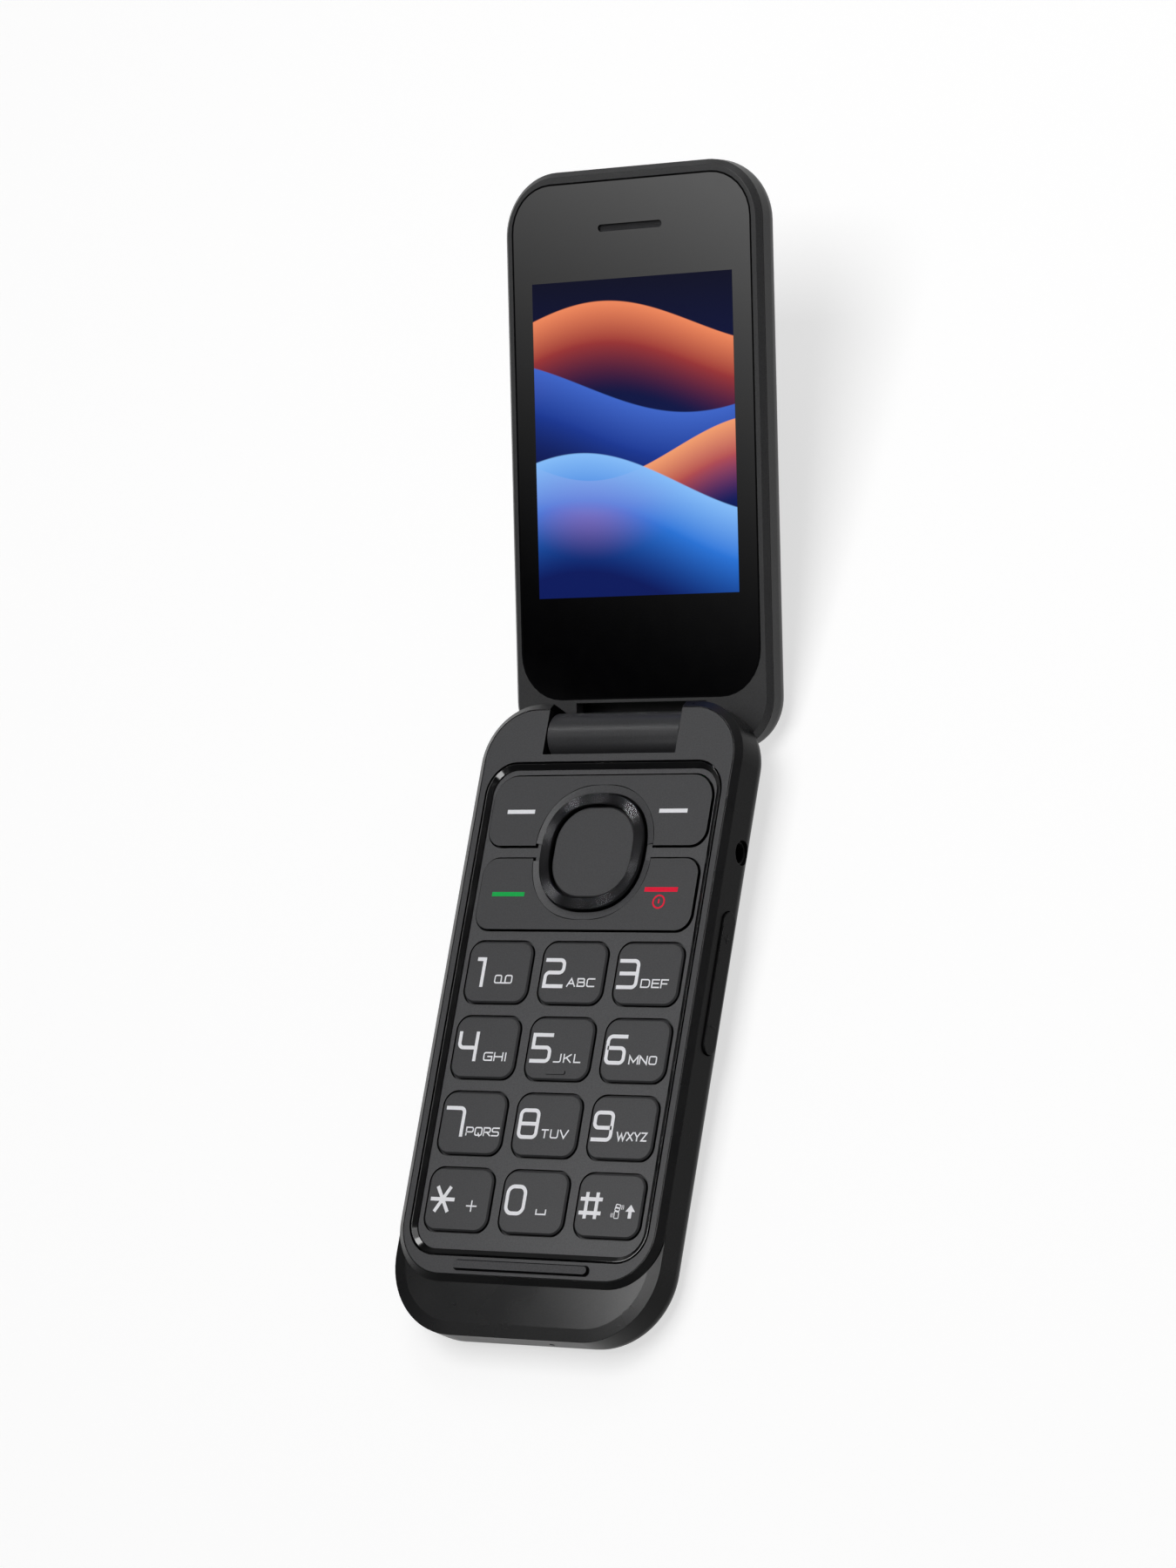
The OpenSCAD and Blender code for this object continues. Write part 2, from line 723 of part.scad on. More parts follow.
module keypad_mat() color(rubber) {
    plate(board_w, panel_y0 + mat_in, panel_y1 - mat_in, mat_r, mat_r, mat_top - mat_t, mat_top);
    each_key() translate([0, 0, mat_top]) cylinder(r = nub_r, h = nub_top - mat_top);
    translate([0, ring_y, mat_top]) cylinder(r = nub_r, h = nub_top - mat_top);
    for (side = [-1, 1], y = [soft_y0 + soft_h/2, call_y0 + call_h/2])
        translate([side*press_x, y, mat_top]) cylinder(r = nub_r, h = nub_top - mat_top);
}

// One snap dome under each place that a key presses
module key_domes() color(steel) {
    each_key() dome();
    translate([0, ring_y, 0]) dome();
    for (a = [0:90:270]) translate([0, ring_y, 0]) rotate([0, 0, a]) translate([tilt_dome_x, 0, 0]) dome();
    for (side = [-1, 1], y = [soft_y0 + soft_h/2, call_y0 + call_h/2]) translate([side*press_x, y, 0]) dome();
}

module dome() {
    translate([0, 0, board_top]) cylinder(r1 = dome_r, r2 = dome_r/2, h = dome_h);
}

module main_board() color(board_green) {
    difference() {
        plate(board_w, cavity_y0 + board_foot, cavity_y1 - 0.5, board_r, board_r, board_z, board_top);
        block(jack_x0 - 2*fit, far, jack_y - jack_w/2 - 2*fit, jack_y + jack_w/2 + 2*fit, 0, far);
    }
}

module shield_can() color(steel) {
    block(-jack_x0 - shield_in, jack_x0 - shield_in, pocket_y0 + shield_in, cavity_y1 - shield_back,
          board_z - shield_t, board_z);
}

module sim_socket() color(steel) {
    block(-sim_w/2 - sim_off, sim_w/2 - sim_off, pocket_y0 + sim_off, pocket_y0 + sim_off + sim_l,
          board_z - shield_t - seat - sim_t, board_z - shield_t - seat);
}

module battery() color("#3a3a40") {
    plate(battery_w, battery_y0, battery_y1, battery_r, battery_r, floor_z + battery_gap, deck_z - battery_gap);
}

module battery_contacts() color("#c8a64a") {
    for (i = [-1:1]) translate([contact_pitch*i, 0, 0])
        block(-contact_w/2, contact_w/2, battery_y1 + seat, pocket_y0 + 0.9, board_z - contact_h, board_z);
}

module usb_port() color(steel) {
    x0 = -base_w/2 + 0.5;
    difference() {
        usb_outline(0, x0, x0 + usb_l);
        usb_outline(-usb_shell, x0 - 1, x0 + usb_l - 1);
    }
    block(x0 + usb_tongue_in, x0 + usb_l - 0.5, usb_y - usb_tongue_w/2, usb_y + usb_tongue_w/2,
          usb_z - usb_tongue_t/2, usb_z + usb_tongue_t/2);
}

module headset_socket() color(gloss) {
    difference() {
        union() {
            rod(jack_nose_r, pocket_w/2 - 1, base_w/2 - 0.8, jack_y, jack_z);
            block(jack_x0, pocket_w/2 - fit, jack_y - jack_w/2, jack_y + jack_w/2, jack_z0, jack_z0 + jack_h);
        }
        rod(jack_r, jack_x0 + 1, far, jack_y, jack_z);
    }
}

module loudspeaker() color("#303034") {
    block(speaker_x0, speaker_x0 + speaker_l, speaker_y0, speaker_y0 + speaker_l, floor_z + floor_t,
          chin_pocket_z - speaker_room);
}

module microphone() color(steel) {
    block(mic_x - mic_w/2, mic_x + mic_w/2, chin_pocket_y0 + seat, chin_pocket_y0 + mic_l, floor_z + floor_t,
          waist_z + 0.6);
}

module vibration_motor() color(steel) {
    translate([chin_pocket_w/2 - motor_r - motor_in, motor_y, floor_z + floor_t])
        cylinder(r = motor_r, h = motor_t);
}

module antenna_strip() color("#c58a4a") {
    w = chin_pocket_w - 2*antenna_in;
    block(-w/2, w/2, chin_pocket_y0 + 0.1, cavity_y0 - antenna_back, chin_pocket_z - antenna_t,
          chin_pocket_z - seat);
}

module volume_switch() color(board_green) {
    block(board_w/2 + 0.1, pocket_w/2 - 0.7, volume_y - switch_l/2, volume_y + switch_l/2,
          volume_z - switch_w/2, volume_z + switch_w/2);
}

module housing_screws() color(steel) {
    for (side = [-1, 1]) translate([side*screw_x, screw_y, cover_t + 0.2]) {
        cylinder(r = screw_head_r, h = floor_z + floor_t - cover_t - 0.2);
        cylinder(r = screw_r, h = lip_z + plate_t/2 - cover_t - 0.2);
    }
}

module lid_bumper() color(rubber) {
    plate(bumper_l, bumper_y - bumper_w/2, bumper_y + bumper_w/2, bumper_w/2 - 0.02, bumper_w/2 - 0.02,
          base_t - 0.5, base_t + 0.7);
}

// The volume key rocks about its middle; its flange is held behind the wall
module volume_key() color(plastic) {
    intersection() {
        volume_slot(0);
        block(base_w/2 - wall - 0.6, base_w/2 + volume_stand, -far, far, 0, base_t);
    }
    x1 = base_w/2 - wall - volume_swing;
    block(x1 - 0.5, x1, volume_y - volume_l/2 - 0.7, volume_y + volume_l/2 + 0.7, volume_z - volume_w/2 - 0.4,
          volume_z + volume_w/2 + 0.4);
}

// Cam shaft keyed into the right ear, and plain pivot in the left ear
module hinge_cam_shaft() color(steel) {
    rod(cam_head_r, notch_w/2 + 0.1, notch_w/2 + ear_pin_l - 0.1, hinge_y, hinge_z);
    rod(shaft_r, cartridge_x + 1, notch_w/2 + 0.2, hinge_y, hinge_z);
}

module hinge_pivot() color(steel) {
    difference() {
        rod(pivot_r, -notch_w/2 - ear_pin_l + 0.1, -pivot_x - 0.2, hinge_y, hinge_z);
        rod(flex_bore_r, -far, 0, hinge_y, hinge_z);
    }
}

// Room in the lid's front for the ears to swing past, narrowing where their round corners draw in
module ear_scoop() {
    drawn_in = ear_reach - sqrt(ear_r*ear_r - pow(hinge_drop - rim_h, 2));
    round_l = sqrt(drawn_in*(2*hinge_corner_r - drawn_in)) + swing_gap;
    x1 = ear_corner_x + 0.4*round_l;
    x2 = ear_corner_x + round_l;
    translate([0, 0, lid_off]) rotate([0, 90, 0]) {
        cylinder(r = scoop_r, h = 2*x1, center = true);
        for (side = [0, 1]) mirror([0, 0, side]) translate([0, 0, x1 - 0.001])
            cylinder(r1 = scoop_r, r2 = lid_off, h = x2 - x1);
    }
}

module lid_frame() color(plastic) on_lid() {
    skirt_in = lid_wall + fit;
    difference() {
        slab(lid_w, -lid_tail, lid_reach, lid_hinge_corner_r, lid_corner_r, 3, -frame_t, 0)
            polygon([[0.1, -lid_bevel_h], [lid_bevel, 0], [edge_in, 0], [edge_in, -frame_t],
                     [skirt_in, -frame_t], [skirt_in, -lid_bevel_h]]);
        plate(lens_w + 2*lens_gap, lens_foot - lens_gap, lens_y1 + lens_gap, lens_r + lens_gap,
              lens_r + lens_gap, -lens_floor, 1);
        plate(lcd_w + 2*seat, lcd_y0 - seat, lcd_y1 + seat, 1, 1, -far, 1);
        block(-earpiece_body_l/2 - earpiece_room, earpiece_body_l/2 + earpiece_room,
              earpiece_y - earpiece_body_w/2 - earpiece_room, earpiece_y + earpiece_body_w/2 + earpiece_room,
              -far, 1);
        block(-barrel_l/2, barrel_l/2, -far, pocket_edge, -far, 1);
        ear_scoop();
        for (side = [-1, 1]) translate([side*lid_screw_x, lid_screw_y, 0]) {
            translate([0, 0, -far]) cylinder(r = screw_r + fit, h = far);
            translate([0, 0, -lens_floor - 0.5]) cylinder(r = screw_head_r + fit, h = 1);
        }
    }
}

// Outer form of the lid's tub, drawn in by a distance
module lid_tub(inset, z1) {
    r = lid_edge_r - inset;
    z0 = -lid_t + inset;
    depth = edge_in + lap;
    slab(lid_w - 2*inset, -lid_tail + inset, lid_reach - inset,
         lid_hinge_corner_r - inset, lid_corner_r - inset,
         edge_in, z0, z1) {
        union() {
            intersection() {
                translate([r, z0 + r]) circle(r);
                translate([0, z0]) square(r);
            }
            translate([r, z0]) square([depth - r, z1 - z0]);
            polygon([[0, z0 + r], [0.05, z1], [depth, z1], [depth, z0 + r]]);
        }
    }
}

module lid_rear_cover() color(plastic) on_lid() {
    difference() {
        lid_tub(0, -lid_bevel_h - seat);
        lid_tub(lid_wall, 1);
        ear_scoop();
        plate(window_w + 2*fit, window_y0 - fit, window_y1 + fit, window_r + fit, window_r + fit, -far,
              -lid_t + window_t + seat);
        plate(window_w - 2*window_ledge, window_y0 + window_ledge, window_y1 - window_ledge,
              window_r - window_ledge, window_r - window_ledge, -far, 0);
    }
    for (side = [-1, 1]) translate([side*lid_screw_x, lid_screw_y, lid_floor - seat]) difference() {
        cylinder(r = lid_boss_r, h = -frame_t - lid_floor);
        cylinder(r = screw_r + fit/2, h = far);
    }
}

module display_lens() color(gloss) on_lid() {
    difference() {
        plate(lens_w, lens_foot, lens_y1, lens_r, lens_r, -lens_t, 0);
        plate(earpiece_l, earpiece_y - earpiece_w/2, earpiece_y + earpiece_w/2, earpiece_w/2 - 0.02,
              earpiece_w/2 - 0.02, -far, 1);
    }
}

module display_panel() color("#141a30") on_lid() {
    plate(lcd_w, lcd_y0, lcd_y1, lcd_r, lcd_r, lcd_z, -lens_floor);
}

module lid_board() color(board_green) on_lid() {
    plate(lcd_w - 2*lid_board_in, lcd_y0 + lid_board_in, earpiece_y + lid_board_top, lid_board_r, lid_board_r,
          lid_board_z0, lid_board_z1);
}

module earpiece() color("#303034") on_lid() {
    block(-earpiece_body_l/2, earpiece_body_l/2, earpiece_y - earpiece_body_w/2, earpiece_y + earpiece_body_w/2,
          lcd_z, -lens_floor);
}

module earpiece_mesh() color(steel) on_lid() {
    plate(earpiece_l - 0.1, earpiece_y - earpiece_w/2 + 0.05, earpiece_y + earpiece_w/2 - 0.05,
          earpiece_w/2 - 0.08, earpiece_w/2 - 0.08, -lens_t, -lens_t + 0.3);
}

module outer_window() color(gloss) on_lid() {
    plate(window_w, window_y0, window_y1, window_r, window_r, -lid_t, -lid_t + window_t);
}

module outer_display() color("#141a30") on_lid() {
    plate(outer_display_w, outer_display_y - outer_display_w/2, outer_display_y + outer_display_w/2,
          outer_display_r, outer_display_r, -lid_t + window_t + seat, lid_board_z0 - seat);
}

module camera_module() color(gloss) on_lid() {
    translate([camera_x, camera_y, -lid_t + window_t + seat])
        cylinder(r = camera_r, h = lid_board_z0 - seat + lid_t - window_t - seat);
}

module flash_lamp() color("#e8dfb0") on_lid() {
    translate([flash_x, camera_y, -lid_t + window_t + seat])
        cylinder(r = flash_r, h = lid_board_z0 - seat + lid_t - window_t - seat);
}

module lid_magnet() color(steel) on_lid() {
    block(magnet_x - magnet_l/2, magnet_x + magnet_l/2, lens_y1 - magnet_in - magnet_w, lens_y1 - magnet_in,
          -frame_t - magnet_t, -frame_t - seat);
}

module lid_screws() color(steel) on_lid() {
    for (side = [-1, 1]) translate([side*lid_screw_x, lid_screw_y, -lens_floor - 0.45]) {
        cylinder(r = screw_head_r, h = 0.4);
        translate([0, 0, -lid_screw_l]) cylinder(r = screw_r, h = lid_screw_l + 0.1);
    }
}

// Barrel with the root that the lid's two halves clamp
module hinge_barrel() color(plastic) on_lid() {
    difference() {
        union() {
            rod(barrel_r, -barrel_l/2, barrel_l/2, 0, lid_off);
            block(-saddle_w/2, saddle_w/2, -lid_tail + lid_wall + fit, barrel_r, -lid_t + lid_edge_r, lid_off);
            block(-saddle_w/2, saddle_w/2, -lid_tail + lid_edge_r, barrel_r, lid_floor + seat, lid_off);
        }
        rod(cartridge_r + fit/2, cartridge_x, far, 0, lid_off);
        rod(pivot_r + run, -far, -pivot_x, 0, lid_off);
    }
}

module hinge_cartridge() color(steel) on_lid() {
    difference() {
        rod(cartridge_r, cartridge_x + 0.1, barrel_l/2 - 0.1, 0, lid_off);
        rod(shaft_r + run, cartridge_x + 0.8, far, 0, lid_off);
    }
}

base_housing();
front_cover();
battery_cover();
keypad_trim();
keypad_panel();
keypad_mat();
key_domes();
main_board();
shield_can();
sim_socket();
battery();
battery_contacts();
usb_port();
headset_socket();
loudspeaker();
microphone();
vibration_motor();
antenna_strip();
volume_switch();
housing_screws();
lid_bumper();
hinge_cam_shaft();
hinge_pivot();
number_key(0);  // key_1
number_key(1);  // key_2
number_key(2);  // key_3
number_key(3);  // key_4
number_key(4);  // key_5
number_key(5);  // key_6
number_key(6);  // key_7
number_key(7);  // key_8
number_key(8);  // key_9
number_key(9);  // key_star
number_key(10);  // key_0
number_key(11);  // key_hash
soft_key_bar();
call_key_bar();
navigation_pad();
navigation_ring();
select_key();
volume_key();
lid_frame();
lid_rear_cover();
display_lens();
display_panel();
lid_board();
earpiece();
earpiece_mesh();
outer_window();
outer_display();
camera_module();
flash_lamp();
lid_magnet();
lid_screws();
hinge_barrel();
hinge_cartridge();
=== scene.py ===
import json
import math

import bmesh
import bpy
from mathutils import Matrix, Vector

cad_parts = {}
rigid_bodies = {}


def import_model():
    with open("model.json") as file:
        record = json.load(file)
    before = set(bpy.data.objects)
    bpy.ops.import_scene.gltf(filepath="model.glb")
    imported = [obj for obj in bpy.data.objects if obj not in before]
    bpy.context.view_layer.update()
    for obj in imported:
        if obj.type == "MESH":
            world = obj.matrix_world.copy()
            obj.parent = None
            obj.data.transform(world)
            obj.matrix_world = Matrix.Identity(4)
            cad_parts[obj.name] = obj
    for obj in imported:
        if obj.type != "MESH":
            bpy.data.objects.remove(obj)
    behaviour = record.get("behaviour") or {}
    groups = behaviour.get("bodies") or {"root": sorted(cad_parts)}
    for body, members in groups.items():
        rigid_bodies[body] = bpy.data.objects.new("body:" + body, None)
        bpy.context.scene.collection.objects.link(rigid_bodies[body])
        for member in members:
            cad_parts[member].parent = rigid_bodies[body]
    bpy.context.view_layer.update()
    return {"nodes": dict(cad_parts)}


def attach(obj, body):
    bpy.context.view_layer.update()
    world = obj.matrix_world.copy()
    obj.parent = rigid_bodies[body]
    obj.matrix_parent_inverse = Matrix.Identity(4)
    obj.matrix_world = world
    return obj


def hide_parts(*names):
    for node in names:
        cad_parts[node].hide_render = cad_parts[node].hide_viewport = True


for left_over in list(bpy.data.objects):
    bpy.data.objects.remove(left_over)
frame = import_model()
solids = frame["nodes"]


# Base housing, battery cover and volume key: injection-moulded black ABS from a spark-eroded tool.
# Housing and chin are one shell, the cover clips into its back, and the key rocks in its right wall.

def linear(colour):
    """An sRGB hex colour as the linear one that shaders take."""
    parts = [int(colour[i:i + 2], 16)/255 for i in (1, 3, 5)]
    return [p/12.92 if p <= 0.04045 else ((p + 0.055)/1.055)**2.4 for p in parts] + [1.0]


def add(mat, kind, values=None, **settings):
    """Adds a node with its settings; each value is a constant or the socket that feeds it."""
    made = mat.node_tree.nodes.new("ShaderNode" + kind)
    for name, value in settings.items():
        setattr(made, name, value)
    for name, value in (values or {}).items():
        if isinstance(value, bpy.types.NodeSocket):
            mat.node_tree.links.new(value, made.inputs[name])
        else:
            made.inputs[name].default_value = value
    return made


def material(name):
    mat = bpy.data.materials.new(name)
    mat.use_nodes = True
    mat.node_tree.nodes.clear()
    return mat


def dress(mat, *names):
    """Gives CAD pieces their material."""
    for name in names:
        mesh = solids[name].data
        mesh.materials.clear()
        mesh.materials.append(mat)


flow_mm = 9
flow_swing = 0.15
rough_swing = 0.05
# Painted shade: a face takes the dark side colour and a low sheen up to the first share of its normal that
# looks up, and its full colour from the second on.
side_up, face_up = 0.5, 0.78
shaded_side_sheen = 0.06


def moulded(name, dark, pale, rough, sheen, grain_mm, depth_mm, edge_mm, side_shade_colour=None):
    """Moulded plastic: a pebbled tool texture, slight streaks of colour and softly broken edges.

    With a side shade colour, only faces that look up keep the plastic's colour; sides and underside are
    painted darker with less sheen, as painted shade."""
    mat = material(name)
    place = add(mat, "TexCoord")
    pebble = add(mat, "TexNoise", {"Vector": place.outputs["Object"], "Scale": 1000/grain_mm, "Detail": 2.0,
                                   "Roughness": 0.6})
    flow = add(mat, "TexNoise", {"Vector": place.outputs["Object"], "Scale": 1000/flow_mm, "Detail": 3.0})
    tone = add(mat, "MapRange", {"Value": pebble.outputs["Fac"], "From Min": 0.3, "From Max": 0.7})
    drift = add(mat, "MapRange", {"Value": flow.outputs["Fac"], "To Min": -flow_swing, "To Max": flow_swing})
    both = add(mat, "Math", {0: tone.outputs["Result"], 1: drift.outputs["Result"]}, operation="ADD",
               use_clamp=True)
    colour = add(mat, "Mix", {0: both.outputs[0], 6: linear(dark), 7: linear(pale)}, data_type="RGBA")
    paint = colour.outputs[2]
    # Painted shade: sides and underside take a darker colour and less sheen than faces that look up.
    if side_shade_colour:
        looks = add(mat, "SeparateXYZ", {0: place.outputs["Normal"]})
        face = add(mat, "MapRange", {"Value": looks.outputs[2], "From Min": side_up, "From Max": face_up})
        side_shade_mix = add(mat, "Mix", {0: face.outputs["Result"], 6: linear(side_shade_colour), 7: paint}, data_type="RGBA")
        paint = side_shade_mix.outputs[2]
        gloss = add(mat, "MapRange", {"Value": face.outputs["Result"], "To Min": shaded_side_sheen, "To Max": sheen})
        sheen = gloss.outputs["Result"]
    shine = add(mat, "MapRange", {"Value": flow.outputs["Fac"], "To Min": rough - rough_swing,
                                  "To Max": rough + rough_swing})
    soft = add(mat, "Bevel", {"Radius": edge_mm/1000}, samples=4)
    bump = add(mat, "Bump", {"Height": pebble.outputs["Fac"], "Normal": soft.outputs[0], "Strength": 0.5,
                             "Distance": depth_mm/1000})
    skin = add(mat, "BsdfPrincipled", {"Base Color": paint, "Roughness": shine.outputs["Result"],
                                       "Normal": bump.outputs[0], "IOR": 1.5, "Specular IOR Level": sheen})
    add(mat, "OutputMaterial", {"Surface": skin.outputs[0]})
    return mat


# The tool's pebble breaks the light up into a dull grain. It is about 0.1 mm in the real piece and is drawn
# at 0.3 mm, the finest that the render can show.
# Painted shade: the walls, the volume key and the underside get the near-black side colour and little sheen,
# so they stay darker than the top.
black_abs = moulded("black_abs_spark_eroded", "#101011", "#19191a", 0.28, 0.36, 0.3, 0.02, 0.15, "#080809")
dress(black_abs, "base_housing", "volume_key")
back_abs = moulded("black_abs_back_cover", "#1c1c1d", "#262627", 0.4, 0.4, 0.3, 0.02, 0.15)
dress(back_abs, "battery_cover")


# Front plate and keypad panel: thin moulded covers, painted dark grey with a fine metallic lacquer.
# The plate is pegged and screwed into the housing; the panel lies in the trim and frames every key.
# The lacquer gives a soft, even grey on top; the sides and cut edges under it are painted nearly black as
# shade.
grey_lacquer = moulded("grey_lacquer_front_plate", "#353537", "#404042", 0.5, 0.4, 0.28, 0.012, 0.1,
                       "#121213")
dress(grey_lacquer, "front_cover")
grey_panel = moulded("grey_lacquer_keypad_panel", "#404042", "#4b4b4d", 0.5, 0.4, 0.28, 0.012, 0.06,
                     "#0a0a0b")
dress(grey_panel, "keypad_panel")


# Keypad trim: a narrow polished ring of black polycarbonate, snapped in round the panel with an open gap
# to the front plate. Its mirror polish gives hard thin highlights on black.
smear_mm = 4
smear_swing = 0.4


def polished(name, dark, pale, rough, edge_mm):
    """Polished plastic: nearly a mirror, with faint hairline smears in the polish."""
    mat = material(name)
    place = add(mat, "TexCoord")
    smear = add(mat, "TexNoise", {"Vector": place.outputs["Object"], "Scale": 1000/smear_mm, "Detail": 4.0})
    colour = add(mat, "Mix", {0: smear.outputs["Fac"], 6: linear(dark), 7: linear(pale)}, data_type="RGBA")
    shine = add(mat, "MapRange", {"Value": smear.outputs["Fac"], "To Min": rough*(1 - smear_swing),
                                  "To Max": rough*(1 + smear_swing)})
    soft = add(mat, "Bevel", {"Radius": edge_mm/1000}, samples=4)
    skin = add(mat, "BsdfPrincipled", {"Base Color": colour.outputs[2], "Roughness": shine.outputs["Result"],
                                       "Normal": soft.outputs[0], "IOR": 1.58})
    add(mat, "OutputMaterial", {"Surface": skin.outputs[0]})
    return mat


gloss_black = polished("polished_black_polycarbonate", "#080809", "#0d0d0e", 0.1, 0.08)
arc_steps = 8


def turned(path, closed):
    """A path of (x, y, corner radius) as plain points, each rounded corner as an arc."""
    points = []
    for i, (x, y, radius) in enumerate(path):
        corner = Vector((x, y))
        if radius <= 0 or (not closed and i in (0, len(path) - 1)):
            points.append(corner)
            continue
        back = (Vector(path[i - 1][:2]) - corner).normalized()
        on = (Vector(path[(i + 1) % len(path)][:2]) - corner).normalized()
        half = back.angle(on)/2
        centre = corner + (back + on).normalized()*(radius/math.sin(half))
        start = corner + back*(radius/math.tan(half)) - centre
        sweep = start.angle_signed(corner + on*(radius/math.tan(half)) - centre)
        for k in range(arc_steps + 1):
            points.append(centre + Matrix.Rotation(-sweep*k/arc_steps, 2) @ start)
    return points


def box_path(half, low, high, corner):
    """The path of a rectangle with round corners, even about the middle line."""
    return [(-half, low, corner), (half, low, corner), (half, high, corner), (-half, high, corner)]


def wrap(bm, loops):
    """Joins each closed loop of points to the next one with smooth faces."""
    for a, b in zip(loops, loops[1:]):
        for i in range(len(a)):
            j = (i + 1) % len(a)
            bm.faces.new((a[i], a[j], b[j], b[i])).smooth = True


metre_per_mm = 0.001


def piece(name, bm, mat, body):
    """A finished mesh, drawn in mm, as an object that rides on a body."""
    bmesh.ops.recalc_face_normals(bm, faces=bm.faces)
    bmesh.ops.scale(bm, vec=(metre_per_mm, metre_per_mm, metre_per_mm), verts=bm.verts)
    mesh = bpy.data.meshes.new(name)
    bm.to_mesh(mesh)
    bm.free()
    mesh.materials.append(mat)
    made = bpy.data.objects.new(name, mesh)
    bpy.context.scene.collection.objects.link(made)
    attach(made, body)
    return made


trim_half = 25.05
trim_y0, trim_y1 = -44.0, 46.52
trim_corner = 6.0
# The section as steps inward from the plate's edge, with heights: flange, gap, ridge and inner slope
trim_section = [(-0.45, 8.3), (-0.45, 8.85), (0.25, 8.85), (0.25, 10.03), (0.32, 10.1), (0.4, 10.1),
                (1.25, 9.6), (1.25, 8.3)]
trim_crease = 20
bm = bmesh.new()
loops = []
for inward, height in trim_section:
    path = box_path(trim_half - inward, trim_y0 + inward, trim_y1 - inward, trim_corner - inward)
    loops.append([bm.verts.new((spot.x, spot.y, height)) for spot in turned(path, True)])
wrap(bm, loops + loops[:1])
trim = piece("keypad_trim_polished", bm, gloss_black, "base")
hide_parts("keypad_trim")
trim.data.set_sharp_from_angle(angle=math.radians(trim_crease))


# Number keys, key bars and select key: separate caps of dark grey polycarbonate with a matt soft-touch
# lacquer, resting on the rubber mat, with their legends printed on top in pale, green and red ink.
# Painted shade: the caps' sides are near black with little sheen, so they read as dark gaps round each key.
key_lacquer = moulded("soft_touch_key_lacquer", "#373739", "#404042", 0.55, 0.4, 0.25, 0.008, 0.08,
                      "#0a0a0b")
number_keys = ["key_1", "key_2", "key_3", "key_4", "key_5", "key_6", "key_7", "key_8", "key_9", "key_star",
               "key_0", "key_hash"]
dress(key_lacquer, "soft_key_bar", "call_key_bar", "select_key", *number_keys)


mesh_mm = 0.4


def print_ink(name, dark, pale):
    """Screen-printed ink: flat colour, slightly uneven where the mesh left it thin."""
    mat = material(name)
    place = add(mat, "TexCoord")
    weave = add(mat, "TexNoise", {"Vector": place.outputs["Object"], "Scale": 1000/mesh_mm, "Detail": 2.0})
    colour = add(mat, "Mix", {0: weave.outputs["Fac"], 6: linear(dark), 7: linear(pale)}, data_type="RGBA")
    skin = add(mat, "BsdfPrincipled", {"Base Color": colour.outputs[2], "Roughness": 0.6, "IOR": 1.48,
                                       "Specular IOR Level": 0.15})
    add(mat, "OutputMaterial", {"Surface": skin.outputs[0]})
    return mat


pale_ink = print_ink("pale_grey_legend_ink", "#f2f2f8", "#fdfdff")
green_ink = print_ink("green_call_ink", "#0cae4b", "#18be58")
red_ink = print_ink("red_end_ink", "#ee0a34", "#fa1a42")

key_top = 9.7
# The ink's foot under the surface, its top over it, and the step between strokes that cross
ink_sunk = 0.02
ink_high = 0.015
ink_step = 0.003
mitre_least = 0.35


def stroke(bm, place, path, width, closed=False, reach=0.0, lift=0.0):
    """A printed line of even width along a path; place turns (x, y, height) into the row frame in mm."""
    points = turned(path, closed)
    if not closed and reach:
        points[0] = points[0] + (points[0] - points[1]).normalized()*reach
        points[-1] = points[-1] + (points[-1] - points[-2]).normalized()*reach
    rings = []
    count = len(points)
    for i, point in enumerate(points):
        last = points[i - 1] if closed or i else None
        after = points[(i + 1) % count] if closed or i < count - 1 else None
        way_in = (point - last).normalized() if last is not None else (after - point).normalized()
        way_out = (after - point).normalized() if after is not None else way_in
        side_in = Vector((-way_in.y, way_in.x))
        side = (side_in + Vector((-way_out.y, way_out.x))).normalized()
        half = side*(width/2/max(side.dot(side_in), mitre_least))
        rings.append([bm.verts.new(place((point + half*s).x, (point + half*s).y, h))
                      for s, h in ((1, -ink_sunk - lift), (1, ink_high + lift), (-1, ink_high + lift),
                                   (-1, -ink_sunk - lift))])
    pairs = [(i, (i + 1) % count) for i in range(count if closed else count - 1)]
    for i, j in pairs:
        for k in range(4):
            bm.faces.new((rings[i][k], rings[i][(k + 1) % 4], rings[j][(k + 1) % 4], rings[j][k]))
    if not closed:
        bm.faces.new(rings[0][::-1])
        bm.faces.new(rings[-1])


def patch(bm, place, outline):
    """A filled printed shape."""
    low = [bm.verts.new(place(x, y, -ink_sunk)) for x, y in outline]
    high = [bm.verts.new(place(x, y, ink_high)) for x, y in outline]
    bm.faces.new(high)
    bm.faces.new(low[::-1])
    for i in range(len(outline)):
        j = (i + 1) % len(outline)
        bm.faces.new((low[i], low[j], high[j], high[i]))


def on_key_top(x, y, h):
    return (x, y, key_top + h)


